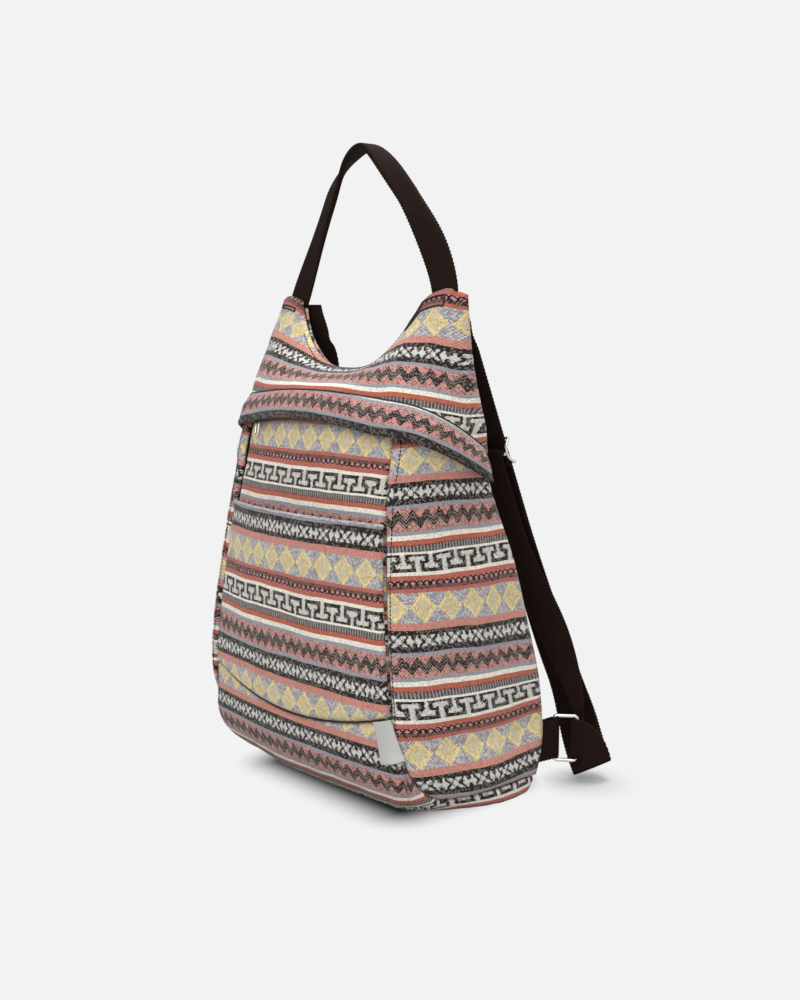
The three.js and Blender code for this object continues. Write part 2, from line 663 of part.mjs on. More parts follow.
// Carry handle: flat in the horns, turning and folding double towards its apex
function handleGeometry() {
  const at = (x, z) => vector(x, HORN_SETBACK, z);
  const horn = (HORN_INNER + HORN_OUTER) / 2;
  const root = HORN_HEIGHT - HANDLE_TAIL;
  const apex = at(...HANDLE_APEX);
  const kneeLeft = at(...HANDLE_KNEE_LEFT);
  const kneeRight = at(...HANDLE_KNEE_RIGHT);
  const mouthLeft = at(HANDLE_MOUTH_LEFT, HORN_HEIGHT);
  const mouthRight = at(horn + 2, HORN_HEIGHT);
  const leg = kneeLeft.clone().sub(mouthLeft);
  const curves = [
    line(ahead(mouthLeft, leg, -HANDLE_TAIL / leg.z), mouthLeft),
    line(mouthLeft, kneeLeft),
    bend(kneeLeft, ahead(kneeLeft, leg, 0.26), at(apex.x - 16, apex.z), apex),
    bend(apex, at(apex.x + 10, apex.z), at(32, apex.z - 21), kneeRight),
    bend(kneeRight, at(62, kneeRight.z - 16), at(86, HORN_HEIGHT + 27), mouthRight),
    line(mouthRight, at(horn + 3, root)),
  ];
  const level = vector(1, 0, 0);
  const flipped = vector(-1, 0, 0);
  const sides = [level, level, vector(0.95, -0.3, -0.3), vector(0, -1, 0), vector(-0.85, -0.5, -0.2), flipped, flipped];
  const left = HANDLE_LEFT_WIDTH;
  const grip = GRIP_WIDTH;
  const right = WEBBING_WIDTH;
  const double = GRIP_THICKNESS;
  const thicknesses = [WEBBING, WEBBING, double, double, double, WEBBING, WEBBING];
  return webbing(curves, sides, [2, 9, 8, 8, 9, 2], [left, left, grip, grip, grip, right, right], thicknesses);
}

add("carry_handle", handleGeometry(), webbingYarn);

// Shoulder strap, right side
const hornWrap = STRAP_X / HORN_OUTER;
const offHorn = SEAM + WEBBING / 2;
const hornBack = raised(reversed(upperBack), offHorn);
const runTop = vector(...RUN_TOP);
const runBottom = vector(...RUN_BOTTOM);
const runDown = runBottom.clone().sub(runTop).normalize();
const acrossRun = vector(1, 0, 0).addScaledVector(runDown, -runDown.x).normalize();
const runInner = runDown.clone().cross(acrossRun); // away from the wearer, towards the bag
const anchorX = BACK_WIDTH_HIP / 2 - ANCHOR_INSET;
const anchorBack = BACK_REACH_HIP + SEAM;
const nearBar = vector(anchorX, anchorBack + ANCHOR_LENGTH, ANCHOR_HEIGHT);
const ringYaw = degToRad(RING_YAW);
const ringOut = vector(Math.sin(ringYaw), Math.cos(ringYaw), 0);
const ringFace = vector(Math.cos(ringYaw), -Math.sin(ringYaw), 0);
const farBar = ahead(nearBar, ringOut, RING_LENGTH - RING_WIRE);
const fold = farBar.clone().add(vector(...FOLD_DROP));
const foldSide = vector(...FOLD_SIDE).normalize();
const foldRise = vector(...FOLD_RISE).normalize();
const hang = vector(...HANG);
const hangDown = vector(...HANG_DOWN).normalize();

function strapMain() {
  const sewnTop = hornBack(-hornWrap, 0.99);
  const seam = hornBack(-hornWrap, 0.99 - STRAP_SEWN / 140);
  const sewnDown = seam.clone().sub(sewnTop).normalize();
  const curves = [
    line(sewnTop, seam),
    bend(seam, ahead(seam, sewnDown, 8), ahead(runTop, runDown, -8), runTop),
    line(runTop, runBottom),
    bend(runBottom, ahead(runBottom, runDown, 40), ahead(hang, hangDown, -40), hang),
    bend(hang, ahead(hang, hangDown, 40), ahead(fold, foldRise, 32), fold),
  ];
  const x = vector(1, 0, 0);
  return evenWebbing(curves, [x, x, acrossRun, acrossRun, vector(0.97, 0.25, 0), foldSide], [2, 5, 5, 8, 14]);
}

// Ring, anchor loop and the return run that passes through the ring up to the adjuster
const wrapRadius = RING_WIRE / 2 + WRAP_GAP + WEBBING / 2;

function anchorLoop() {
  const upright = vector(0, 0, 1);
  const sewn = SEAM / 2 + WEBBING / 2;
  const leg = (side) => {
    const start = vector(anchorX + side * sewn, anchorBack, ANCHOR_HEIGHT);
    const end = vector(anchorX + side * wrapRadius, nearBar.y, ANCHOR_HEIGHT);
    const y = vector(0, 1, 0);
    return [start, ahead(start, y, 7), ahead(end, y, -7), end];
  };
  const curves = [
    bend(...leg(1)),
    new BarWrap(nearBar, wrapRadius, 0, Math.PI),
    bend(...leg(-1).toReversed()),
  ];
  return evenWebbing(curves, [upright, upright, upright, upright], [4, 7, 4]);
}

function ringGeometry() {
  const halfLength = (RING_LENGTH - RING_WIRE) / 2 - RING_CORNER;
  const halfHeight = (RING_HEIGHT - RING_WIRE) / 2 - RING_CORNER;
  const rings = [];
  const quarters = [[1, 1], [-1, 1], [-1, -1], [1, -1]];
  quarters.forEach(([right, top], quarter) => {
    for (const turn of spread(0, 1, 4)) {
      const angle = ((quarter + turn) * Math.PI) / 2;
      const out = vector(0, Math.cos(angle), Math.sin(angle));
      const corner = vector(0, right * halfLength, top * halfHeight);
      const middle = ahead(corner, out, RING_CORNER);
      rings.push(
        spread(0, 2 * Math.PI, 8)
          .slice(1)
          .map((a) => ahead(ahead(middle, out, (Math.cos(a) * RING_WIRE) / 2), vector(1, 0, 0), (Math.sin(a) * RING_WIRE) / 2)),
      );
    }
  });
  return loft(rings, true);
}

// The adjuster's outer bars lie over the straight run, its middle bar under it, with the return run's loop
const adjusterAt = runTop.clone().lerp(runBottom, ADJUSTER_SHARE);
const loopRadius = ADJUSTER_BAR / 2 + WRAP_GAP + WEBBING / 2;
const middleBarDepth = WEBBING / 2 + SEAM + WEBBING / 2 + loopRadius;
const outerBarLift = WEBBING / 2 + WRAP_GAP + ADJUSTER_BAR / 2;
const runDepth = middleBarDepth + loopRadius;

function adjusterGeometry() {
  const inside = WEBBING_WIDTH / 2 + WRAP_GAP;
  const bar = (along, lift) =>
    new THREE.CylinderGeometry(ADJUSTER_BAR / 2, ADJUSTER_BAR / 2, 2 * inside + ADJUSTER_RAIL, 12)
      .rotateZ(Math.PI / 2)
      .translate(0, along, lift);
  const railTop = outerBarLift + ADJUSTER_BAR / 2 + WRAP_GAP;
  const railBottom = -middleBarDepth - ADJUSTER_BAR / 2 - WRAP_GAP;
  const rail = (side) =>
    new THREE.BoxGeometry(ADJUSTER_RAIL, ADJUSTER_LENGTH, railTop - railBottom).translate(
      side * (inside + ADJUSTER_RAIL / 2),
      0,
      (railTop + railBottom) / 2,
    );
  const end = (ADJUSTER_LENGTH - ADJUSTER_BAR) / 2 - WRAP_GAP;
  return join(rail(1), rail(-1), bar(end, outerBarLift), bar(-end, outerBarLift), bar(0, -middleBarDepth));
}

function strapReturn() {
  const down = runDown;
  const inner = runInner;
  const bar = ahead(adjusterAt, inner, middleBarDepth);
  const tailTop = ahead(bar, inner, -loopRadius);
  const runStart = ahead(bar, inner, loopRadius);
  const runEnd = ahead(runBottom, inner, runDepth);
  const reach = loopRadius * (4 / 3);
  const arrive = ahead(farBar, ringOut, -wrapRadius);
  const inFront = ahead(arrive, ringFace, -BAR_STRAIGHT);
  const leave = ahead(farBar, ringFace, wrapRadius);
  const behind = ahead(leave, ringOut, BAR_STRAIGHT);
  const creaseOut = foldSide.clone().cross(foldRise).normalize();
  const crease = ahead(fold, creaseOut, WEBBING + 2 * SEAM);
  const loopDown = vector(...LOOP_DOWN).normalize();
  const curves = [
    line(ahead(tailTop, down, TAIL_LENGTH), tailTop),
    bend(tailTop, ahead(tailTop, down, -reach), ahead(runStart, down, -reach), runStart),
    line(runStart, runEnd),
    bend(runEnd, ahead(runEnd, down, 60), ahead(inFront, ringFace, -7).setZ(inFront.z + 28), inFront),
    line(inFront, arrive),
    new BarWrap(farBar, wrapRadius, -Math.PI / 2 - ringYaw, -ringYaw),
    line(leave, behind),
    bend(behind, ahead(ahead(behind, ringOut, 6), ringFace, 2), ahead(crease, loopDown, -6), crease),
  ];
  const upright = vector(0, 0, 1);
  const run = acrossRun;
  const sides = [run, run, run, run, upright, upright, upright, upright, foldSide];
  return evenWebbing(curves, sides, [1, 8, 3, 16, 1, 5, 1, 10], true);
}

function addPair(name, geometry, material, place = () => {}) {
  const right = add(`${name}_right`, geometry, material);
  place(right);
  right.updateMatrix();
  const flipped = geometry.clone().applyMatrix4(right.matrix).scale(-1, 1, 1);
  if (!flipped.index) flipped.setIndex([...Array(flipped.attributes.position.count).keys()]);
  flipped.index.array.reverse();
  add(`${name}_left`, flipped, material);
}

addPair("strap_main", strapMain(), webbingYarn);
addPair("strap_return", strapReturn(), webbingYarn);
addPair("anchor_loop", anchorLoop(), webbingYarn);
addPair("ring", ringGeometry(), nickel, (ring) => {
  ring.position.copy(nearBar.clone().lerp(farBar, 0.5));
  ring.rotation.z = -ringYaw;
});
addPair("adjuster", adjusterGeometry(), nickel, (adjuster) => {
  const out = runInner.clone().negate();
  const axes = new THREE.Matrix4().makeBasis(acrossRun, out.clone().cross(acrossRun), out);
  adjuster.position.copy(adjusterAt);
  adjuster.quaternion.setFromRotationMatrix(axes);
});

// Label, sewn in the base seam and leaning round the right front corner
function cornerPoint(past, z) {
  if (past <= 0) return frontPoint(1 + past / frontSeam(z).x, z);
  return sidePoint(past / (3 * CORNER_HANDLE), z);
}

function labelSurface(along, up) {
  const past = lerp(-LABEL_LEFT, LABEL_WIDTH - LABEL_LEFT, along);
  const seam = baseFront(1 + past / frontSeam(HIP_HEIGHT).x) - SEAM;
  return cornerPoint(past + LABEL_SLANT * (1 - up), seam - LABEL_HEIGHT * (1 - up));
}

add("label", sheet(raised(labelSurface, SEAM + LINING), spread(0, 1, 14), spread(0, 1, 5), LINING), satin);

export default backpack;
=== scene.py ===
import math

import bmesh
import bpy
import numpy as np
from mathutils import Matrix, Vector, noise


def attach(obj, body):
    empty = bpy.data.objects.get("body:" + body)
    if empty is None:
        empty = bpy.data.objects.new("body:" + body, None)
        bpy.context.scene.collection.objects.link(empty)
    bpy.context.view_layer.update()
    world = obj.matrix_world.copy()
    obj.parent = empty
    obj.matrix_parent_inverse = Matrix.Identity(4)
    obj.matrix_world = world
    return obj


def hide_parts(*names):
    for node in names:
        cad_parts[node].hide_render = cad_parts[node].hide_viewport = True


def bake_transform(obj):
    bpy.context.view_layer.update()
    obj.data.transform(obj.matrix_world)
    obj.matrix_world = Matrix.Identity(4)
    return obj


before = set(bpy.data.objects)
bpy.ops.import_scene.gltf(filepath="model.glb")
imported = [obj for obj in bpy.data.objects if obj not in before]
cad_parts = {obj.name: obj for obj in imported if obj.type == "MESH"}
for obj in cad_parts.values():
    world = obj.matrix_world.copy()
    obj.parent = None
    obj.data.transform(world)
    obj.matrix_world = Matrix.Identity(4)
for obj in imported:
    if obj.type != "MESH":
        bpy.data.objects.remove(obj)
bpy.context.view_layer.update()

# Front panel, the flat face of the shell behind the slip pocket. It is cut from a banded jacquard cloth with
# its lining bonded behind it, and sewn to the sides, the base and the front zip. The cloth hangs with its
# repeat upside down here, as it does on the pocket and the flap.
MM = 0.001
CLOTH = 2.4
SEAM = 0.4
TURN_IN = 0.8
DIP_REACH = 4.0
HIP_HEIGHT = 75
ARCH_HEIGHT = 292
ARCH_DROP = (5.5, 10, 25)
FRONT_WIDTH = (221, 162)
FRONT_REACH = (68, 43)
CROWN = 9
BASE_ROUND = 42
BASE_INSET_FRONT = 32
BASE_MIDDLE = 57
BASE_CORNER = 75
ZIP_OPENING = 8
HORN_INNER = 75
HORN_OUTER = 108
FRONT_SHARE = HORN_INNER / HORN_OUTER


def lerp(a, b, share):
    return a + (b - a) * share


def clamp(x, low=0.0, high=1.0):
    return max(low, min(high, x))


def rise(z):
    return clamp((z - HIP_HEIGHT) / (ARCH_HEIGHT - HIP_HEIGHT), 0, 1.2)


def base_turn(z):
    below = clamp((BASE_ROUND - z) / BASE_ROUND)
    return 1 - math.sqrt(1 - below**2)


def front_seam(z):
    inset = BASE_INSET_FRONT * base_turn(z)
    reach = lerp(*FRONT_REACH, rise(z) ** 2)
    return Vector((lerp(*FRONT_WIDTH, rise(z)) / 2 - inset, inset - reach, z))


def front_point(across, z):
    seam = front_seam(z)
    return Vector((seam.x * across, seam.y - CROWN * (1 - across**2), z))


def arch_side(along):
    return ARCH_HEIGHT - ARCH_DROP[0] - ARCH_DROP[1] * along - ARCH_DROP[2] * along**2


def on_side(wrap):
    return (abs(wrap) - FRONT_SHARE) / (1 - FRONT_SHARE)


def arch_height(wrap):
    if on_side(wrap) > 0:
        return arch_side(on_side(wrap))
    return ARCH_HEIGHT - ARCH_DROP[0] * (wrap / FRONT_SHARE) ** 2


def base_front(across):
    return lerp(BASE_MIDDLE, BASE_CORNER, across**2)


def front_top(across):
    return arch_height(across * FRONT_SHARE) - 2 * ZIP_OPENING


class Thread:
    """A socket of a material's nodes that can be reckoned with."""

    def __init__(self, tree, link=None):
        self.tree = tree
        self.link = link

    def node(self, kind, settings, sockets, output=0):
        made = self.tree.nodes.new(kind)
        for key, value in settings.items():
            if key == "stops":
                ramp = made.color_ramp
                ramp.interpolation = "CONSTANT"
                for place, colour in value:
                    stop = ramp.elements[0] if place == 0 else ramp.elements.new(place)
                    stop.color = (*colour, 1)
                ramp.elements.remove(ramp.elements[-1])
            else:
                setattr(made, key, value)
        for key, value in sockets.items():
            if isinstance(value, Thread):
                self.tree.links.new(value.link, made.inputs[key])
            else:
                made.inputs[key].default_value = value
        return Thread(self.tree, made.outputs[output])

    def math(self, operation, *values):
        sockets = dict(enumerate((self, *values)))
        return self.node("ShaderNodeMath", {"operation": operation}, sockets)

    def flipped(self, operation, value):
        return self.node("ShaderNodeMath", {"operation": operation}, {0: value, 1: self})

    def __add__(self, other):
        return self.math("ADD", other)

    def __sub__(self, other):
        return self.math("SUBTRACT", other)

    def __mul__(self, other):
        return self.math("MULTIPLY", other)

    def __truediv__(self, other):
        return self.math("DIVIDE", other)

    def __radd__(self, other):
        return self.flipped("ADD", other)

    def __rsub__(self, other):
        return self.flipped("SUBTRACT", other)

    def __rmul__(self, other):
        return self.flipped("MULTIPLY", other)

    def __lt__(self, other):
        return self.math("LESS_THAN", other)

    def __gt__(self, other):
        return self.math("GREATER_THAN", other)

    def __abs__(self):
        return self.math("ABSOLUTE")

    def __or__(self, other):
        return self.math("MAXIMUM", other)

    def floor(self):
        return self.math("FLOOR")

    def part(self):
        return self.math("FRACT")

    def between(self, low, high):
        return (self > low) * (self < high)

    def tint(self, mask, colour):
        shown = colour if isinstance(colour, Thread) else (*colour, 1)
        return self.node("ShaderNodeMix", {"data_type": "RGBA"}, {0: mask, 6: self, 7: shown}, 2)

    def shade(self, amount):
        settings = {"data_type": "RGBA", "blend_type": "MULTIPLY"}
        return self.node("ShaderNodeMix", settings, {0: 1.0, 6: self, 7: amount}, 2)

    def speckle(self, other):
        """A random value for each cell of two counts."""
        cell = self.node("ShaderNodeCombineXYZ", {}, {0: self, 1: other})
        return cell.node("ShaderNodeTexWhiteNoise", {"noise_dimensions": "2D"}, {"Vector": cell})

    def mixed(self, dark, light):
        """A colour between two dyes, by this mask."""
        sockets = {0: self, 6: (*dye(dark), 1), 7: (*dye(light), 1)}
        return self.node("ShaderNodeMix", {"data_type": "RGBA"}, sockets, 2)

    def axis(self, index):
        return self.node("ShaderNodeSeparateXYZ", {}, {0: self}, index)

    def feed(self, shader, socket="Base Color"):
        self.tree.links.new(self.link, shader.inputs[socket])

    def emboss(self, shader, strength, distance):
        """Raises a shader's surface by this height."""
        sockets = {"Strength": strength, "Distance": distance, "Height": self}
        self.node("ShaderNodeBump", {}, sockets).feed(shader, "Normal")


def dye(code):
    """Linear colour of a six-digit colour code."""
    shares = [int(code[i : i + 2], 16) / 255 for i in (0, 2, 4)]
    return [s / 12.92 if s <= 0.04045 else ((s + 0.055) / 1.055) ** 2.4 for s in shares]


def new_finish(name, roughness, metallic=0.0):
    finish = bpy.data.materials.new(name)
    finish.use_nodes = True
    shader = finish.node_tree.nodes["Principled BSDF"]
    shader.inputs["Roughness"].default_value = roughness
    shader.inputs["Metallic"].default_value = metallic
    return finish, shader, Thread(finish.node_tree)


MOTIF = 20.0
REPEAT = 100.3
ENDS = 24
PICKS = 120
TUFTS = 18
RAGGED = 1.1
BANDS = (
    ("diamonds", "ground", 0.0),
    ("diamond edge", "pink", 19.8),
    ("saltires", "black", 25.1),
    ("saltire edge", "blue", 40.0),
    ("zigzags", "rose", 42.3),
    ("zigzag edge", "blue", 57.3),
    ("plain cord", "cream", 60.3),
    ("plain stripe", "rust", 63.6),
    ("combs", "comb", 67.0),
    ("comb edge", "cream", 71.9),
    ("keys", "black", 73.4),
    ("key edge", "cream", 86.1),
    ("upper stripe", "red", 88.3),
    ("crosses", "rose", 91.7),
    ("lower stripe", "red", 97.7),
)
YARNS = {
    "ground": dye("a9a4a7"),
    "pink": dye("cb8a7c"),
    "black": dye("261e1d"),
    "blue": dye("9b9ba2"),
    "rose": dye("c68f86"),
    "cream": dye("f0e8d9"),
    "rust": dye("b9654f"),
    "comb": dye("a09b9b"),
    "red": dye("bb6959"),
}
YELLOW = dye("e8d28c")
BEIGE = dye("cdbf9f")
LILAC = dye("c9bdb4")
LIGHT = dye("dad5cd")
WHITE = dye("d4d1cb")
DARK = dye("1f1817")
FLECK = dye("988c82")
AMBER = dye("d8ad57")
ASH = dye("7b777c")
STRAW = dye("bba99c")
DIAMOND_MIDDLE = 9.9
DIAMOND_HALF = (9.5, 10.2)
DIAMOND_CORE = 0.76
SALTIRE_MIDDLE = 32.35
SALTIRE_HALF = 3.9
SALTIRE_ARM = 1.75
SALTIRE_KNOT = 3.2
STAR_HALF = 2.5
ZIGZAG_START = 43.4
ZIGZAG_RISE = 6.2
ZIGZAG_BREADTH = 7.0
CROSS_ROWS = (91.9, 97.5)
CROSS_MIDDLE = 94.0
CROSS_FOOT = (95.1, 95.3)
KEY_BAR_DOWN = (75.1, 78.1)
KEY_STEM_DOWN = (78.0, 86.1)
KEY_BAR_UP = (80.5, 83.4)
KEY_STEM_UP = (73.4, 80.7)
KEY_BAR_HALF = (5.4, 5.3)
KEY_STEM_HALF = (1.8, 1.3)
KEY_SHOULDER = 79.4
KEY_WIDENS = 1.2


def weave():
    """Banded jacquard, read from the cloth's own map: one step across a motif, one step along a repeat."""
    cloth, shader, thread = new_finish("woven_cloth", 0.9)
    shader.inputs["Sheen Weight"].default_value = 0.12
    shader.inputs["Specular IOR Level"].default_value = 0.25
    place = thread.node("ShaderNodeUVMap", {"uv_map": "cloth"}, {})
    across = place.axis(0) * ENDS
    along = place.axis(1) * PICKS
    end = across.floor()
    pick = along.floor()
    fleck = end.speckle(pick)
    share = ((end + 0.5) * (1 / ENDS)).part()
    down = ((pick + 0.5) * (1 / PICKS)).part()
    at = down * REPEAT
    checker = ((end + pick) * 0.5).part() > 0.25
    starts = [start for *_, start in BANDS] + [REPEAT]

    def band(name):
        index = [title for title, *_ in BANDS].index(name)
        return at.between(starts[index], starts[index + 1])

    stops = [(start / REPEAT, YARNS[yarn]) for _, yarn, start in BANDS]
    colour = down.node("ShaderNodeValToRGB", {"stops": stops}, {0: down})
    tuft_end = (place.axis(0) * TUFTS).floor()
    tuft_pick = (place.axis(1) * TUFTS * REPEAT / MOTIF).floor()
    dotted = ((tuft_end + tuft_pick) * 0.5).part() > 0.25
    tuft = 0.62 * tuft_end.speckle(tuft_pick) + 0.38 * dotted
    ragged = (tuft - 0.5) * RAGGED
    near = abs(share - 0.5) * MOTIF + ragged
    far = MOTIF / 2 - near
    row = at + ragged
    colour = colour.tint(band("diamonds") * (tuft > 0.66) * 0.6, LIGHT)
    colour = colour.tint(band("diamonds") * (tuft < 0.3) * 0.6, ASH)

    ring = near * (1 / DIAMOND_HALF[0]) + abs(row - DIAMOND_MIDDLE) * (1 / DIAMOND_HALF[1])
    core = ring < DIAMOND_CORE
    gold = colour.tint(1.0, YELLOW)
    gold = gold.tint(core * (tuft > 0.4), BEIGE)
    gold = gold.tint(core * (tuft > 0.68) * 0.8, LILAC)
    gold = gold.tint((tuft < 0.14) * 0.7, AMBER)
    colour = colour.tint(ring < 1.0, gold)

    height = abs(row - SALTIRE_MIDDLE)
    inside = height < SALTIRE_HALF
    saltire = (abs(near - height) < SALTIRE_ARM) * inside
    knot = abs(near + height - SALTIRE_KNOT) > 0.5
    side = abs(far - STAR_HALF)
    star = (side * height < 2.0) * inside * (side < STAR_HALF)
    white = (near < MOTIF / 4) * saltire * knot + (far < MOTIF / 4) * star
    colour = colour.tint(white, WHITE)

    wave = row - (ZIGZAG_START + ZIGZAG_RISE * (1 - 2 * abs((share * 2).part() - 0.5)))
    zigzag = wave.between(0.0, ZIGZAG_BREADTH)
    salt = band("zigzags") * (tuft < 0.3) * 0.6
    tooth = band("combs") * ((share * 8 + 0.25).part() < 0.5) * (0.6 + 0.4 * tuft)
    cross = (abs(abs((share * 4).part() - 0.5) * 5 - abs(at - CROSS_MIDDLE)) < 0.8) * (tuft > 0.2)
    foot = (at > CROSS_FOOT[0]) * (0.4 + 0.6 * checker)
    hatch = at.between(*CROSS_ROWS) * ((at < CROSS_FOOT[1]) * cross | foot | (tuft < 0.2))
    colour = colour.tint(zigzag | tooth | hatch | salt, DARK)
    straw = zigzag * ((wave * 0.43).part() > 0.66) * (0.3 + 0.7 * dotted)
    colour = colour.tint(straw * 0.75, STRAW)

    bar_down = row.between(*KEY_BAR_DOWN) * (near < KEY_BAR_HALF[0])
    stem_down = at.between(*KEY_STEM_DOWN) * (near < KEY_STEM_HALF[0])
    bar_up = row.between(*KEY_BAR_UP) * (far < KEY_BAR_HALF[1])
    stem_half = KEY_STEM_HALF[1] + KEY_WIDENS * (at > KEY_SHOULDER)
    stem_up = at.between(*KEY_STEM_UP) * (far - stem_half < 0)
    colour = colour.tint(bar_down | stem_down | bar_up | stem_up, LIGHT)

    dark = band("saltires") * (1 - white) | band("keys") | tooth
    colour = colour.tint(dark * (tuft > 0.74) * 0.5, FLECK)
    spots = place.node("ShaderNodeTexCoord", {}, {}, 3)
    worn = place.node("ShaderNodeTexNoise", {}, {"Vector": spots, "Scale": 22.0, "Detail": 3.0})
    colour = colour.shade(0.6 + 0.16 * fleck + 0.5 * tuft + 0.14 * worn)
    colour.feed(shader)

    warp = abs(across.part() - 0.5)
    weft = abs((along + 0.5 * end).part() - 0.5)
    relief = 1 - 1.6 * warp * warp - 1.6 * weft * weft + 0.35 * fleck
    relief.emboss(shader, 0.55, 0.0005)
    return cloth


woven_cloth = weave()


def sample(surface, columns, rows):
    """Points of a surface, in mm, on an even grid of its two shares."""
    return np.array([[surface(i / columns, j / rows) for j in range(rows + 1)] for i in range(columns + 1)])


def lengths(grid, axis):
    """Length of the cloth from the first row or column to each point."""
    steps = np.linalg.norm(np.diff(grid, axis=axis), axis=2)
    start = np.zeros_like(np.take(steps, [0], axis=axis))
    return np.concatenate([start, np.cumsum(steps, axis=axis)], axis=axis)


def outward(grid):
    facing = np.cross(np.gradient(grid, axis=0), np.gradient(grid, axis=1))
    return facing / np.maximum(np.linalg.norm(facing, axis=2, keepdims=True), 1e-9)


def from_sides(grid):
    """Length of the cloth from each point to the nearer side edge."""
    return np.minimum(lengths(grid, 0), lengths(grid[::-1], 0)[::-1])


def from_top(grid):
    return lengths(grid[:, ::-1], 1)[:, ::-1]


def part_way(values, low, high):
    """Share of the way from one value to another, held between 0 and 1."""
    return np.clip((values - low) / (high - low), 0, 1)


def level(grid, height):
    """Length up each column of cloth from where it passes a height."""
    up = lengths(grid, 1)
    for i in range(len(grid)):
        up[i] -= np.interp(height, grid[i, :, 2], up[i])
    return up


def slack(points, seed, coarse, fine):
    """Unevenness of sewn cloth: broad dents and shallow ripples, in mm."""
    lift = np.zeros(points.shape[:2])
    for i, column in enumerate(points):
        for j, point in enumerate(column):
            spot = Vector(point) + Vector((seed * 97.0, 0, 0))
            lift[i, j] = coarse * noise.noise(spot / 42) + fine * noise.noise(spot / 13)
    return lift


def seam_dips(grid, left, right, bottom, top):
    """How the cloth turns in towards each sewn edge, in mm."""
    across = lengths(grid, 0)
    up = lengths(grid, 1)
    far = across[-1:] - across
    down = up[:, -1:] - up
    dips = np.zeros(grid.shape[:2])
    for gap, depth in ((across, left), (far, right), (up, bottom), (down, top)):
        share = np.clip(gap / DIP_REACH, 0, 1)
        dips -= depth * (1 - share) ** 2
    return dips


def new_piece(name, mesh, material):
    mesh.polygons.foreach_set("use_smooth", [True] * len(mesh.polygons))
    mesh.materials.clear()
    mesh.materials.append(material)
    piece = bpy.data.objects.new(name, mesh)
    bpy.context.scene.collection.objects.link(piece)
    return piece


def finish_mesh(bm, name, material):
    mesh = bpy.data.meshes.new(name)
    bm.to_mesh(mesh)
    bm.free()
    return new_piece(name, mesh, material)


def lay_grid(name, shape, cloth_map, material, map_name="cloth"):
    """A mesh on a grid of points in mm, with its map."""
    columns, rows = shape.shape[0] - 1, shape.shape[1] - 1
    bm = bmesh.new()
    layer = bm.loops.layers.uv.new(map_name)
    bmesh.ops.create_grid(bm, x_segments=columns, y_segments=rows, size=0.5)
    spots = {v: (round((v.co.x + 0.5) * columns), round((v.co.y + 0.5) * rows)) for v in bm.verts}
    for face in bm.faces:
        for loop in face.loops:
            loop[layer].uv = cloth_map[spots[loop.vert]]
    for vert, spot in spots.items():
        vert.co = Vector(shape[spot]) * MM
    return finish_mesh(bm, name, material)


SHOULDER_FULLNESS = 9
SHOULDER_SPAN = (50, 95)
SHOULDER_HEIGHTS = (238, 374)
SHOULDER_LEAN = (3.2, 3.6)
SHOULDER_BACK = 0.4
SHOULDER_DEPTHS = (-20, 20)
LEAN_HEIGHTS = (272, 372)
RIGHT_FULLNESS = 0.65
BACK_WAIST = 5
WAIST_HEIGHTS = (46, 192)
WAIST_DEPTHS = (0, 50)
WAIST_DRAW = (0.4, 0.85)
FOOT_SPREAD = (10, 4)
FOOT_SPAN = (50, 100)
FOOT_HEIGHT = 52
LEFT_SPREAD = 0.3
CORNER_TUCK = (6, 12)
CORNER_DEPTHS = (5, 65)
HORN_STRETCH = 3.5
HORN_STRETCH_HEIGHTS = (325, 367)


def leaning(z):
    return np.sin(part_way(z, *LEAN_HEIGHTS) * math.pi)


def settle(shape):
    """How the filled bag stands: full shoulders that lean, a drawn-in waist, and a foot that spreads."""
    x, y, z = shape[..., 0], shape[..., 1], shape[..., 2]
    wide = np.abs(x)
    out = part_way(wide, *SHOULDER_SPAN) ** 2
    full = np.sin(part_way(z, *SHOULDER_HEIGHTS) ** 0.8 * math.pi) * np.where(x > 0, RIGHT_FULLNESS, 1.0)
    swell = SHOULDER_FULLNESS * out * full
    waist = BACK_WAIST * np.sin(part_way(z, *WAIST_HEIGHTS) * math.pi) ** 2 * part_way(y, *WAIST_DEPTHS)
    low = part_way(z, FOOT_HEIGHT, 0)
    corner = part_way(y, *CORNER_DEPTHS) * part_way(wide, 0, 100) * low**1.5
    spread = low * part_way(wide, *FOOT_SPAN) * np.where(x > 0, 1.0, LEFT_SPREAD)
    moved = shape.copy()
    moved[..., 0] += np.sign(x) * (swell + FOOT_SPREAD[0] * spread - CORNER_TUCK[0] * corner)
    moved[..., 0] -= WAIST_DRAW[0] * waist * np.clip(x / 100, -1, 1) + SHOULDER_LEAN[0] * leaning(z)
    moved[..., 1] += SHOULDER_BACK * swell * part_way(y, *SHOULDER_DEPTHS)
    moved[..., 1] -= CORNER_TUCK[1] * corner + FOOT_SPREAD[1] * spread + WAIST_DRAW[1] * waist
    moved[..., 1] -= SHOULDER_LEAN[1] * leaning(z)
    moved[..., 2] += HORN_STRETCH * part_way(z, *HORN_STRETCH_HEIGHTS) * out
    return moved


def ride_as(piece, body, node):
    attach(piece, body)
    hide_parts(node)
    return piece


def line_cloth(piece, thickness):
    """Gives a laid face its thickness, behind it."""
    wall = piece.modifiers.new("lined", "SOLIDIFY")
    wall.thickness = thickness * MM
    wall.offset = -1
    return wall


def sew(name, node, shape, cloth_map, thickness=CLOTH, material=woven_cloth, slot="woven_cloth"):
    """A sewn panel of cloth on the filled bag, in place of its solid."""
    piece = lay_grid(name, settle(shape), cloth_map, material)
    line_cloth(piece, thickness).use_even_offset = True
    return ride_as(piece, "bag", node)


def cut(grid):
    width = float(np.ptp(lengths(grid, 0), axis=0).max()) * MM
    length = float(np.ptp(lengths(grid, 1), axis=1).max()) * MM
    corner = np.cross(grid[1:, :-1] - grid[:-1, :-1], grid[:-1, 1:] - grid[:-1, :-1])


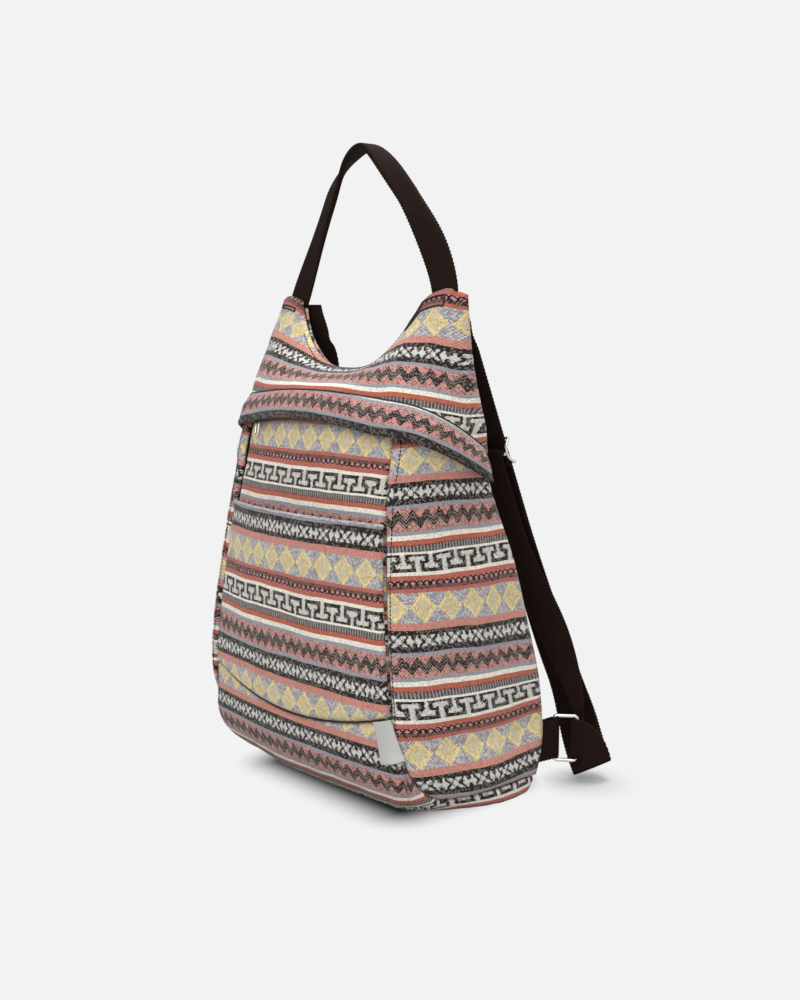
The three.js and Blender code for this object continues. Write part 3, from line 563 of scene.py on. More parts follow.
def cloth_places(across, along):
    """Map of the cloth in motifs and repeats, from lengths in mm."""
    return np.stack([across / MOTIF, along / REPEAT], axis=2)


def front_cut(u, v, highest, top):
    """Place on the front face, between the base seam and a top edge."""
    across = (2 * u - 1) * (1 - TURN_IN / front_seam(lerp(BASE_CORNER, highest, v)).x)
    return front_point(across, lerp(base_front(across) + SEAM, top(across), v))


def centred(grid):
    across = lengths(grid, 0)
    return across - across[len(across) // 2]


FRONT_PHASE = -3.3
FRONT_SHIFT = 5.0
FRONT_TURN_IN = (0.3, 2.2)
FRONT_DIPS = (1.4, 1.4, 1, 0.6)
PULLER_ROOM = 1.8
PULLER_SPAN = (45, 75)
PULLER_HEIGHTS = (225, 250)
MAP_HEIGHT = 150
front_grid = sample(lambda u, v: front_cut(u, v, ARCH_HEIGHT, front_top), 60, 72)
front_height = front_grid[..., 2]
front_lift = seam_dips(front_grid, *FRONT_DIPS) - abs(slack(front_grid, 1, 0.7, 0.3))
front_lift -= SHOULDER_LEAN[1] * leaning(front_height)
puller_room = part_way(np.abs(front_grid[..., 0]), *PULLER_SPAN)
puller_room *= np.clip(from_sides(front_grid) / 5, 0.2, 1)
front_lift -= PULLER_ROOM * puller_room * part_way(front_height, *PULLER_HEIGHTS)
front_along = level(front_grid, MAP_HEIGHT) + FRONT_PHASE + slack(front_grid, 11, 1.0, 0.4)
front_map = cloth_places(centred(front_grid) + FRONT_SHIFT, front_along)
front_shape = front_grid + outward(front_grid) * front_lift[..., None]
front_shape[[0, -1], :, 0] += np.sign(front_shape[[0, -1], :, 0]) * FRONT_TURN_IN[0]
front_shape[[0, -1], :, 1] += FRONT_TURN_IN[1]
front_panel = sew("front_panel_cloth", "front_panel", front_shape, front_map)
cut(front_grid)

# Slip pocket, a second layer of the same cloth on the front panel. It is caught in the side seams and the
# base seam. Its mouth is turned over in a narrow roll that gapes a little, and bound with a ribbed ribbon.
POCKET_MOUTH = 205
POCKET_GAPE = 8
POCKET_CLOTH = 1.2
POCKET_DIPS = (2.6, 2.6, 3.4, 0)
POCKET_PHASE = 88.3
POCKET_STRETCH = 0.953
POCKET_COLUMNS = 66
POCKET_ROWS = 60
ROLL_RADIUS = 1.7
ROLL_TURN = 3.6
ROLL_STEPS = 7
RIBBON_RADIUS = 1.2
RIBBON_PROUD = 0.2
POCKET_CREASES = (
    ((104, -62, 88), (78, -70, 62), 3.5, -2.4),
    ((100, -64, 94), (72, -72, 66), 5, 1.6),
)


def roll_edge(grid, normals, radius, turn, steps, top=True):
    """Adds rows that roll a free edge over towards the bag."""
    rows = [grid[:, j] for j in range(grid.shape[1])]
    edge, inner = (rows[-1], rows[-2]) if top else (rows[0], rows[1])
    ahead = edge - inner
    ahead /= np.linalg.norm(ahead, axis=1, keepdims=True)
    facing = normals[:, -1 if top else 0]
    added = []
    for k in range(1, steps + 1):
        angle = turn * k / steps
        added.append(edge + ahead * radius * math.sin(angle) - facing * radius * (1 - math.cos(angle)))
    rows = rows + added if top else added[::-1] + rows
    return np.stack(rows, axis=1)


def crease(grid, start, end, width, depth):
    """A fold in the cloth along a line between two points in mm, deepest at its middle."""
    a = np.array(start)
    run = np.array(end) - a
    share = np.clip(((grid - a) @ run) / (run @ run), 0, 1)
    gap = np.linalg.norm(grid - (a + share[..., None] * run), axis=2)
    return depth * np.exp(-((gap / width) ** 2)) * np.sin(np.pi * np.clip(share, 0.02, 0.98))


def grained(name, roughness, scale, detail=2.0, metallic=0.0):
    """A finish with a fine grain that its tones can follow."""
    finish, shader, thread = new_finish(name, roughness, metallic)
    spot = thread.node("ShaderNodeTexCoord", {}, {}, 3)
    grain = spot.node("ShaderNodeTexNoise", {}, {"Vector": spot, "Scale": scale, "Detail": detail})
    return finish, shader, grain


def tube(name, points, radius, material, closed=False):
    """A round wire or cord along points in mm."""
    curve = bpy.data.curves.new(name, "CURVE")
    curve.dimensions = "3D"
    curve.bevel_depth = radius * MM
    curve.bevel_resolution = 6
    curve.use_fill_caps = not closed
    route = curve.splines.new("POLY")
    route.points.add(len(points) - 1)
    for spot, point in zip(route.points, points):
        spot.co = (*(Vector(point) * MM), 1)
    route.use_cyclic_u = closed
    shaper = bpy.data.objects.new(name + "_line", curve)
    bpy.context.scene.collection.objects.link(shaper)
    mesh = bpy.data.meshes.new_from_object(shaper.evaluated_get(bpy.context.evaluated_depsgraph_get()))
    bpy.data.objects.remove(shaper)
    mesh.name = name
    return new_piece(name, mesh, material)


def pocket_surface(u, v):
    return front_cut(u, v, POCKET_MOUTH, lambda across: POCKET_MOUTH)


pocket_flat = sample(pocket_surface, POCKET_COLUMNS, POCKET_ROWS)
shares = np.linspace(-1, 1, POCKET_COLUMNS + 1)[:, None]
climb = np.linspace(0, 1, POCKET_ROWS + 1)[None, :]
pocket_lift = SEAM + CLOTH + POCKET_GAPE * (1 - shares**2) * climb**2
pocket_lift = pocket_lift + seam_dips(pocket_flat, *POCKET_DIPS)
pocket_lift += slack(pocket_flat, 2, 0.8, 0.35) * np.clip(climb * 4, 0, 1)
for fold in POCKET_CREASES:
    pocket_lift += crease(pocket_flat, *fold)
pocket_shape = pocket_flat + outward(pocket_flat) * pocket_lift[..., None]
pocket_shape = roll_edge(pocket_shape, outward(pocket_shape), ROLL_RADIUS, ROLL_TURN, ROLL_STEPS)
pocket_along = POCKET_PHASE + POCKET_STRETCH * level(pocket_shape, MAP_HEIGHT)
pocket_along = pocket_along + slack(pocket_shape, 12, 1.0, 0.4)
pocket_map = cloth_places(centred(pocket_shape) + FRONT_SHIFT, pocket_along)
slip_pocket = sew("slip_pocket_cloth", "slip_pocket", pocket_shape, pocket_map, POCKET_CLOTH)
cut(pocket_shape)
mouth_ribbon, mouth_shader, mouth_grain = grained("mouth_ribbon", 0.85, 800.0, 1.0)
(mouth_grain > 0.5).mixed("8f8b90", "cbc6c8").feed(mouth_shader)
mouth_line = settle(pocket_shape)[:, -ROLL_STEPS] + outward(pocket_shape)[:, -ROLL_STEPS] * RIBBON_PROUD
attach(tube("pocket_mouth_binding", mouth_line, RIBBON_RADIUS, mouth_ribbon), "bag")

# Side panels, which bulge from the front seams to the back seams. Each is one piece of the same cloth with
# its repeat the right way up, turned in at its seams.
BACK_WIDTH = (244, 217)
BACK_REACH = (69, 12)
CORNER_HANDLE = 26
CORNER_ANGLE = math.radians(30)
SIDE_ANGLE = math.radians(98)
SIDE_FULLNESS = 0.45
SIDE_START = TURN_IN / (3 * CORNER_HANDLE)
BASE_INSET_BACK = 6
BASE_SAG = 7
BASE_SIDE = 12
BASE_SWEEP = 0.36
SEAM_DRAW = 16
SEAM_OVER = Vector((0.8, 0.2, 0))
SIDE_DIPS = (2.2, 1.2, 2.2, 0.8)
SIDE_PITCH = 21.2
SIDE_PHASE = 10.2
SIDE_START_MOTIF = 5.4
SIDE_FAN = (0.11, 0.12)
SIDE_LEVEL = 10
SIDE_SPREAD = 0.18
SIDE_PULL = 22
SIDE_PULL_HEIGHTS = (112, 22)
FULL_FOOT = (30, 80)
FULL_HEAD = (285, 245)
FULL_MIDDLE = 17
FULL_REACH = 15
SIDE_CREASES = (
    ((100, -52, 46), (130, 30, 52), 7, -2.6),
    ((104, -46, 30), (130, 24, 24), 6, 2.2),
    ((98, -56, 66), (124, -6, 40), 6, -1.8),
    ((124, 66, 60), (126, 20, 30), 9, -2.2),
    ((117, -45, 92), (126, 30, 112), 16, -1.4),
    ((100, -38, 262), (114, -14, 228), 7, -1.2),
)


def ease(x, low=0.0, high=1.0):
    share = clamp((x - low) / (high - low))
    return share * share * (3 - 2 * share)


def bezier(a, b, c, d, share):
    rest = 1 - share
    return a * rest**3 + b * (3 * share * rest**2) + c * (3 * share**2 * rest) + d * share**3


def back_seam(z):
    easing = ease(z, HIP_HEIGHT, ARCH_HEIGHT)
    sag = BASE_SAG * max(0, 1 - z / HIP_HEIGHT) ** 2
    inset = BASE_INSET_BACK * base_turn(z)
    return Vector((lerp(*BACK_WIDTH, easing) / 2 + sag - inset, lerp(*BACK_REACH, easing) - inset, z))


def side_handle(z):
    return SIDE_FULLNESS * (back_seam(z).y - front_seam(z).y)


def side_point(along, z):
    front = front_seam(z)
    back = back_seam(z)
    near = front + CORNER_HANDLE * Vector((math.cos(CORNER_ANGLE), math.sin(CORNER_ANGLE), 0))
    far = back - side_handle(z) * Vector((math.cos(SIDE_ANGLE), math.sin(SIDE_ANGLE), 0))
    return bezier(front, near, far, back, along)


def side_end(z):
    return 1 - (CLOTH + SEAM) / (3 * side_handle(z) * math.sin(SIDE_ANGLE))


def sweep(along):
    return max(0, 1 - along / BASE_SWEEP)


def base_side(along):
    return lerp(BASE_SIDE, BASE_CORNER, sweep(along) ** 2)


def side_share(u, v):
    return lerp(SIDE_START, side_end(lerp(BASE_SIDE, arch_side(u), v)), u)


def side_surface(u, v):
    along = side_share(u, v)
    return side_point(along, lerp(base_side(along) + SEAM, arch_side(along) - SEAM, v))


def side_run(u, v):
    """Level length of cloth from the front seam."""
    along = side_share(u, v)
    z = side_surface(u, v).z
    spots = [side_point(lerp(SIDE_START, along, k / 14), z) for k in range(15)]
    return sum((b - a).length for a, b in zip(spots, spots[1:]))


def draw_back(shape, edge, gap, target):
    """Draws an edge of cloth on to a line, and the cloth beside it less and less."""
    share = np.clip(1 - gap / SEAM_DRAW, 0, 1)[..., None] ** 2
    return shape + share * (target - shape[edge])[None]


def flip(grid):
    """Mirror image of a grid on the other side of the bag."""
    return grid[::-1] * np.array((-1.0, 1.0, 1.0))


def side_panel(end, sign, seed, fullness):
    grid = sample(side_surface, 48, 92)
    run = sample(side_run, 48, 92)
    up = level(grid, MAP_HEIGHT)
    height = grid[..., 2]
    share = run / run.max()
    fan = up * (SIDE_FAN[0] + SIDE_FAN[1] * share)
    across = (run - SIDE_START_MOTIF + fan) * MOTIF / SIDE_PITCH + MOTIF / 2
    along = SIDE_PHASE - SIDE_LEVEL + (SIDE_LEVEL - up) * (1 - SIDE_SPREAD * share**1.5)
    along = along + slack(grid, seed + 10, 1.6, 0.4)
    along = along + SIDE_PULL * share**2 * part_way(height, *SIDE_PULL_HEIGHTS)
    lift = seam_dips(grid, *SIDE_DIPS) + slack(grid, seed, 1.0, 0.35)
    for fold in SIDE_CREASES:
        lift += crease(grid, *fold)
    gap = lengths(grid, 0)
    stand = part_way(height, *FULL_FOOT) * part_way(height, *FULL_HEAD)
    lift += fullness * np.exp(-(((gap - FULL_MIDDLE) / FULL_REACH) ** 2)) * stand
    shape = grid + outward(grid) * lift[..., None]
    edge = np.array([back_seam(z) + SEAM_OVER for z in shape[-1, :, 2]])
    shape = draw_back(shape, -1, gap[-1:] - gap, edge)
    if sign < 0:
        grid, across, along, shape = flip(grid), -across[::-1], along[::-1], flip(shape)
    node = f"side_panel_{end}"
    piece = sew(f"{node}_cloth", node, shape, cloth_places(across, along))
    cut(grid)
    return shape


side_shapes = {"right": side_panel("right", 1, 3, 0.8), "left": side_panel("left", -1, 4, 6.5)}

# Base, one piece of cloth that wraps up on to the front, runs round the sides and closes the bottom. It is
# rounded at the front and sags a little under the bag's own weight.
BASE_PHASE = 25.1
BASE_PHASE_HEIGHT = 51.4
BASE_PULL = 17
BASE_PULL_DEPTHS = (-62, -22)
BASE_DIP = 2.4
BASE_DIP_REACH = 4
BASE_CENTRE = 10
BASE_HOLLOW = 1.5
BASE_COLUMNS = (60, 36, 40)
WALL_STEPS = 26
STRAIGHT_STEPS = 6
FLOOR_STEPS = 12
MAP_STEP = 14
FLOOR_CLEARANCE = 0.05
BASE_CREASES = (
    ((60, -76, 48), (-50, -70, 20), 5, -1.6),
    ((96, -60, 62), (112, -30, 18), 6, -2.0),
    ((80, -70, 40), (112, -24, 30), 5, 1.6),
)


def base_wall(at, rim):
    """Points down one column of the base, from its seam round the bottom edge to the floor."""
    top = rim - SEAM
    if top > BASE_ROUND:
        turns = WALL_STEPS - STRAIGHT_STEPS
        heights = [lerp(top, BASE_ROUND, k / STRAIGHT_STEPS) for k in range(STRAIGHT_STEPS)]
        heights += [BASE_ROUND * (1 - math.sin(k / turns * math.pi / 2)) for k in range(turns + 1)]
    else:
        first = math.asin(1 - top / BASE_ROUND)
        angles = [lerp(first, math.pi / 2, k / WALL_STEPS) for k in range(WALL_STEPS + 1)]
        heights = [BASE_ROUND * (1 - math.sin(angle)) for angle in angles]
    return [at(z) for z in heights]


def back_point(across, z):
    seam = back_seam(z)
    return Vector((seam.x * across, seam.y, z))


def base_columns():
    """Height of the seam and course of each column, round the bag from the left front corner."""
    front, side, back = BASE_COLUMNS
    columns = []
    for k in range(front + 1):
        across = -1 + 2 * k / front
        columns.append((base_front(across), lambda z, a=across: front_point(a, z)))
    right = []
    for k in range(1, side + 1):
        share = k / side
        rim = base_side(lerp(SIDE_START, side_end(BASE_SIDE), share))
        right.append((rim, lambda z, s=share: side_point(lerp(SIDE_START, 1, s), z)))
    columns += right
    for k in range(1, back):
        columns.append((BASE_SIDE, lambda z, a=1 - 2 * k / back: back_point(a, z)))
    for rim, at in reversed(right):
        columns.append((rim, lambda z, p=at: Vector((-p(z).x, p(z).y, z))))
    columns.append(columns[0])
    return columns


def weld(piece, capped=False):
    """Joins the edges of a laid grid where they meet, and caps its open ends."""
    bm = bmesh.new()
    bm.from_mesh(piece.data)
    bmesh.ops.remove_doubles(bm, verts=bm.verts, dist=1e-6)
    if capped:
        bmesh.ops.holes_fill(bm, edges=[e for e in bm.edges if e.is_boundary], sides=0)
        bmesh.ops.recalc_face_normals(bm, faces=bm.faces)
    bm.to_mesh(piece.data)
    bm.free()


base_rings = []
for rim, at in base_columns():
    wall = base_wall(at, rim)
    foot = wall[-1]
    for k in range(1, FLOOR_STEPS + 1):
        share = k / FLOOR_STEPS
        height = BASE_HOLLOW * ease(share)
        wall.append(Vector((foot.x * (1 - share), lerp(foot.y, BASE_CENTRE, share), height)))
    base_rings.append(wall[::-1])
base_grid = np.array([[tuple(p) for p in ring] for ring in base_rings])
wall_share = part_way(np.arange(base_grid.shape[1]), FLOOR_STEPS, FLOOR_STEPS + WALL_STEPS)[None, :]
base_lift = slack(base_grid, 5, 1.1, 0.5) * np.sin(wall_share * math.pi) ** 0.5
for fold in BASE_CREASES:
    base_lift += crease(base_grid, *fold)
base_normals = outward(base_grid)
base_normals[:, :FLOOR_STEPS] = (0, 0, -1)
base_down = from_top(base_grid)
base_turned = part_way(base_grid[:, -1, 1], *BASE_PULL_DEPTHS)
base_start = BASE_PHASE + BASE_PHASE_HEIGHT - base_grid[:, -1, 2] + BASE_PULL * base_turned
rim_across = lengths(base_grid, 0)[:, FLOOR_STEPS + MAP_STEP]
rim_across = rim_across - rim_across[BASE_COLUMNS[0] // 2] + FRONT_SHIFT
base_across = np.repeat(rim_across[:, None], base_grid.shape[1], axis=1)
base_map = cloth_places(base_across, base_start[:, None] + base_down)
base_lift -= BASE_DIP * np.clip(1 - base_down / BASE_DIP_REACH, 0, 1) ** 2
base_shape = base_grid + base_normals * base_lift[..., None]
base_shape[..., 2] = np.maximum(base_shape[..., 2], FLOOR_CLEARANCE)
base_panel = lay_grid("base_panel_cloth", settle(base_shape), base_map, woven_cloth)
weld(base_panel)
line_cloth(base_panel, CLOTH)
ride_as(base_panel, "bag", "base_panel")

# Back, against the wearer: an upper and a lower panel of the same cloth with the main zip between them. They
# lie flat across, and the upper one climbs to the scooped edge and the backs of the horns.
HORN_HEIGHT = 367
HORN_ROUND = (3, 6)
HORN_SETBACK = -1
HORN_HALF = CLOTH + SEAM + 1
SCOOP_HEIGHT = 313
SCOOP_POWER = 2.6
SCOOP_SETBACK = -10
SCOOP_HALF = 1
BACK_ZIP_HEIGHT = 205
UPPER_BACK_SPLIT = 0.3
UPPER_BACK_HANDLE = (18, 34)
BACK_LEVEL = arch_side(1)
BACK_TURN_IN = 2.4
BACK_TURN_REACH = 14
BACK_SINK = 0.5
BACK_DIPS = (1.2, 1.2, 0.8)
BACK_CLOTH = 1.6
BACK_PHASE = SIDE_PHASE + 57
BACK_PHASE_HEIGHT = 206
TOP_GAP = 1.5
TOP_REACH = 3.5
TOP_SINK = 1.6
TOP_SINK_REACH = 8
SHOULDER_SLOPE = (0.96, -0.28)
HORN_SLOPES = {-1: (0.34, -0.95), 1: (0.16, -0.95)}
back_slope = (back_point(0, BACK_ZIP_HEIGHT + 1) - back_point(0, BACK_ZIP_HEIGHT - 1)).normalized()
back_out = Vector((0, back_slope.z, -back_slope.y))
zip_rise = ZIP_OPENING * back_slope.z


def to_horn(wrap):
    return clamp(abs(wrap) / FRONT_SHARE)


def top_edge(wrap, skin):
    along = max(0, on_side(wrap))
    scoop = lerp(SCOOP_HEIGHT, HORN_HEIGHT - HORN_ROUND[0], to_horn(wrap) ** SCOOP_POWER)
    tip = HORN_HEIGHT - HORN_ROUND[0] * (1 - along) ** 3 - HORN_ROUND[1] * along**4
    share = to_horn(wrap) ** 2
    middle = lerp(SCOOP_SETBACK, HORN_SETBACK, share)
    half = lerp(SCOOP_HALF, HORN_HALF, share)
    return Vector((HORN_OUTER * wrap, middle + skin * half, tip if along > 0 else scoop))


def top_lean(wrap, skin):
    """Direction of the cloth down from the top edge, on the front skin or the back one."""
    shoulder, horn = (Vector((0, skin * out, down)) for out, down in (SHOULDER_SLOPE, HORN_SLOPES[skin]))
    return shoulder.lerp(horn, to_horn(wrap) ** 2).normalized()


def upper_back(wrap, up):
    start = BACK_ZIP_HEIGHT + zip_rise
    share = to_horn(wrap) ** 2
    if up <= UPPER_BACK_SPLIT:
        return back_point(wrap, lerp(start, BACK_LEVEL, up / UPPER_BACK_SPLIT))
    foot = back_point(wrap, BACK_LEVEL)
    lift = (back_point(wrap, BACK_LEVEL + 1) - foot).normalized()
    top = top_edge(wrap, 1)
    handle = lerp(*UPPER_BACK_HANDLE, share)
    low = foot + lift * handle
    high = top + top_lean(wrap, 1) * handle
    return bezier(foot, low, high, top, (up - UPPER_BACK_SPLIT) / (1 - UPPER_BACK_SPLIT))


def lower_back(across, up):
    return back_point(across, lerp(BASE_SIDE + SEAM, BACK_ZIP_HEIGHT - zip_rise, up))


def close_top(grid):
    """Draws the last of both skins together along the top edge."""
    share = np.clip(1 - from_top(grid) / TOP_REACH, 0, 1) ** 2
    wraps = grid[:, -1:, 0] / HORN_OUTER
    middle = np.array([[lerp(SCOOP_SETBACK, HORN_SETBACK, to_horn(w) ** 2) for w in row] for row in wraps])
    gap = middle - grid[:, -1:, 1]
    closed = grid.copy()
    closed[..., 1] += share * np.sign(gap) * np.maximum(np.abs(gap) - TOP_GAP, 0)
    return closed


def back_panel(node, surface, columns, rows, seed, top_dip):
    grid = sample(lambda u, v: surface(1 - 2 * u, v), columns, rows)
    lift = slack(grid, seed, 0.9, 0.35) - BACK_SINK + seam_dips(grid, *BACK_DIPS, top_dip)
    shape = grid + outward(grid) * lift[..., None]
    turned = np.clip(1 - from_sides(grid) / BACK_TURN_REACH, 0, 1) ** 2
    shape[..., 0] -= np.sign(shape[..., 0]) * BACK_TURN_IN * turned
    if top_dip == 0:
        shape = close_top(shape)
        shape[..., 2] -= TOP_SINK * np.clip(1 - from_top(grid) / TOP_SINK_REACH, 0, 1)
    back_map = cloth_places(centred(grid), BACK_PHASE - level(grid, BACK_PHASE_HEIGHT))
    piece = sew(f"{node}_cloth", node, shape, back_map, BACK_CLOTH)
    cut(grid)


back_panel("back_panel_upper", upper_back, 112, 66, 8, 0)
back_panel("back_panel_lower", lower_back, 72, 60, 9, 0.8)

# Yoke, the upper front that ends in the two horns. It is sewn to the upper back along the scooped edge and
# drawn together there, so the bands of its cloth dip below the scoop.
SCOOP_GATHER = 39
YOKE_HANDLE = (13, 34)
SHOULDER_HANDLE = (20, 34)
YOKE_PHASE = -12.0
LEFT_DROOP = 5
LEFT_SPAN = (-30, -90)
MIDDLE_RISE = 2
MIDDLE_SPAN = (60, 0)
YOKE_OVER = (1.0, 1.2)
YOKE_END = lerp(FRONT_SHARE, 1, side_end(arch_side(1)))
YOKE_CREASES = (
    ((-62, -20, 330), (-40, -45, 305), 6, -1.6),
    ((66, -20, 330), (40, -46, 304), 6, -1.4),
    ((30, -40, 312), (95, -30, 296), 5, 1.0),
)


def side_wrap(wrap, z):
    if on_side(wrap) <= 0:
        return front_point(wrap / FRONT_SHARE, z)
    point = side_point(on_side(wrap), z)
    return Vector((math.copysign(point.x, wrap), point.y, point.z))


def yoke_point(wrap, up):
    share = to_horn(wrap) ** 2
    foot = side_wrap(wrap, arch_height(wrap))
    lift = (side_wrap(wrap, arch_height(wrap) + 1) - foot).normalized()
    top = top_edge(wrap, -1)
    low = foot + lift * lerp(*YOKE_HANDLE, share)
    high = top + top_lean(wrap, -1) * lerp(*SHOULDER_HANDLE, share)
    return bezier(foot, low, high, top, up)


def close_sides(shape):
    """Draws the side edges of the yoke back over the edges of the upper back."""
    back = np.array([upper_back(1, lerp(UPPER_BACK_SPLIT, 1, k / 60)) for k in range(61)])
    across = lengths(shape, 0)
    for edge, sign, gap in ((0, -1, across), (-1, 1, across[-1:] - across)):
        z = shape[edge, :, 2]
        x = np.interp(z, back[:, 2], back[:, 0]) + YOKE_OVER[0]
        y = np.interp(z, back[:, 2], back[:, 1]) + YOKE_OVER[1]
        shape = draw_back(shape, edge, gap, np.stack([sign * x, y, z], axis=1))
    return shape


yoke_grid = sample(lambda u, v: yoke_point(lerp(-YOKE_END, YOKE_END, u), v), 132, 48)
yoke_down = from_top(yoke_grid)
yoke_top_x = yoke_grid[:, -1:, 0]
gather = part_way(yoke_grid[:, -1:, 2], HORN_HEIGHT - HORN_ROUND[0], SCOOP_HEIGHT)
yoke_along = YOKE_PHASE + yoke_down + SCOOP_GATHER * gather
left_droop = LEFT_DROOP * part_way(yoke_top_x, *LEFT_SPAN)
yoke_along += left_droop - MIDDLE_RISE * part_way(np.abs(yoke_top_x), *MIDDLE_SPAN)
yoke_lift = slack(yoke_grid, 6, 0.8, 0.4) * np.clip(yoke_down / 10, 0.15, 1)
for fold in YOKE_CREASES:
    yoke_lift += crease(yoke_grid, *fold)
yoke_shape = close_sides(close_top(yoke_grid + outward(yoke_grid) * yoke_lift[..., None]))
yoke_map = cloth_places(centred(yoke_grid) + MOTIF / 4, yoke_along)
yoke = sew("yoke_cloth", "yoke_panel", yoke_shape, yoke_map, BACK_CLOTH)
cut(yoke_grid)

# Flap over the front zip, a doubled strip of cloth sewn on the yoke above the zip. Its lower edge is rolled
# in a hem and stands off, so it throws a shadow on the front.
FLAP_OVERLAP = 5
FLAP_DROP = 16
FLAP_LIFT = 5.2
FLAP_DROOP = 3.5
FLAP_CREST = -0.1
FLAP_DROOP_SHARE = 0.7
FLAP_DIP = 2.4
FLAP_DIP_REACH = 4.5
FLAP_HEM = 9.5
FLAP_CLOTH = 1.4
FLAP_ROWS = 20
FLAP_BAND = 40
HEM_BAND = 36.7
HEM_REPEAT = 3.2
HEM_STAGGER = 7
HEM_ROLL = (1.5, 3.4, 8)


def flap_point(wrap, up):
    arch = arch_height(wrap)
    droop = FLAP_DROOP * clamp(abs(wrap - FLAP_CREST) / FLAP_DROOP_SHARE) ** 2
    z = arch + lerp(-FLAP_DROP - droop, FLAP_OVERLAP, up)
    if z <= arch:
        return side_wrap(wrap, z)
    foot = side_wrap(wrap, arch)
    lift = yoke_point(wrap, 1e-3) - foot
    return foot + lift * ((z - arch) / lift.z)


flap_flat = sample(lambda u, v: flap_point(lerp(-YOKE_END, YOKE_END, u), v), 140, FLAP_ROWS)
flap_height = FLAP_DROP + FLAP_OVERLAP
up_flap = np.linspace(0, 1, FLAP_ROWS + 1)[None, :]
below = np.clip(FLAP_DROP - up_flap * flap_height, 0, None)
flap_lift = SEAM + CLOTH + FLAP_LIFT * np.sqrt(below / FLAP_DROP)
flap_lift = flap_lift + slack(flap_flat, 7, 1.0, 0.5) * np.clip(below / 8, 0, 1)
flap_lift -= FLAP_DIP * np.clip(1 - (1 - up_flap) * flap_height / FLAP_DIP_REACH, 0, 1) ** 2
flap_shape = flap_flat + outward(flap_flat) * flap_lift[..., None]
flap_shape = roll_edge(flap_shape, outward(flap_shape), *HEM_ROLL, top=False)
hem_up = lengths(flap_shape, 1) - FLAP_HEM
flap_across = centred(flap_shape) + FRONT_SHIFT + np.minimum(hem_up // HEM_REPEAT, 0) * HEM_STAGGER
plain_along = FLAP_BAND + hem_up + slack(flap_shape, 15, 0.8, 0.3)
flap_along = np.where(hem_up < 0, HEM_BAND + hem_up % HEM_REPEAT, plain_along)
flap = sew("front_flap_cloth", "front_flap", flap_shape, cloth_places(flap_across, flap_along), FLAP_CLOTH)
cut(flap_shape)

# Lining of the zipped front pocket, a plain dark cloth. It hangs flat behind the front panel, from the lower
# tape of the front zip to which it is sewn.
LINING_BOTTOM = 115
LINING_SIDE = 0.9
LINING_CLOTH = 0.6
LINING_TOP = 2.2
LINING_BEHIND = 1.6
dark_lining, lining_shader, lining_grain = grained("dark_lining", 0.85, 900.0)
lining_grain.mixed("231d1c", "3a3130").feed(lining_shader)


def lining_surface(u, v):
    across = lerp(-LINING_SIDE, LINING_SIDE, u)
    return front_point(across, lerp(LINING_BOTTOM, front_top(across) - LINING_TOP, v))


lining_grid = sample(lining_surface, 40, 40)
lining_shape = lining_grid - outward(lining_grid) * (CLOTH + LINING_BEHIND)
lining_map = cloth_places(centred(lining_grid), lengths(lining_grid, 1))
lining_names = ("front_pocket_lining_cloth", "front_pocket_lining")
lining = sew(*lining_names, lining_shape, lining_map, LINING_CLOTH, dark_lining, "lining")
cut(lining_grid)

# Zips, one under the flap and one across the back: two woven tapes, a nylon coil sewn between them, and a
# nickel slider with a wire puller that hangs from a riveted peg.
TAPE = 0.7
TAPE_REACH = 9.4
TAPE_BEND = 6
TAPE_EDGE_DEPTH = 3.2
TAPE_DEPTH = 4.85
COIL_HALF = 2
COIL_TOP = 4.6
COIL_BOTTOM = 6.2
COIL_PITCH = 1.5
COIL_SHIFT = 0.45
COIL_TURN = (0.62, COIL_HALF - COIL_SHIFT, 0.8)
CORE_TURN = (COIL_HALF, 0.5, COIL_PITCH * 1.04)
CORE_BELOW = 0.3
SLIDER_LENGTH = 12
SLIDER_WIDTH = 8.6
SLIDER_TOP = 1
SLIDER_FOOT = 0.35 - COIL_TOP
SLIDER_OUTLINE = ((-0.5, -1), (0.16, -1), (0.5, -0.6), (0.5, 0.6), (0.16, 1), (-0.5, 1))
SLIDER_ROUND = 0.7
PEG_RADIUS = 1.2
PEG_HEAD = 2.2
PEG_PLAY = 0.35
PEG_ROOT = 0.4
PEG_TENON = 0.2
PEG_CAP = 0.5
PEG_TAPER = 0.94
PULLER_LENGTH = 26
PULLER_WIDTH = 7
PULLER_WIRE = 1.6
PULLER_LIFT = 0.4
PULLER_TOP = 0.25
ZIP_STOP = 7
BACK_ZIP_MARGIN = 9.3
ZIP_SEWN_IN = 6.6

zip_tape, tape_shader, tape_thread = new_finish("zip_tape_weave", 0.88)
tape_spot = tape_thread.node("ShaderNodeTexCoord", {}, {}, 3)
tape_ribs = {"Vector": tape_spot, "Scale": 700.0, "Distortion": 1.5}
tape_rib = tape_spot.node("ShaderNodeTexWave", {"bands_direction": "Z"}, tape_ribs)
tape_rib.mixed("1d1817", "342b29").feed(tape_shader)
coil_nylon, coil_shader, coil_grain = grained("coil_nylon", 0.45, 1500.0)
coil_grain.mixed("201b1a", "3b3432").feed(coil_shader)
nickel, nickel_shader, nickel_haze = grained("polished_nickel", 0.22, 420.0, 4.0, 1.0)
nickel_haze.mixed("c9c5bd", "e4e1da").feed(nickel_shader)
(0.14 + 0.2 * nickel_haze).feed(nickel_shader, "Roughness")

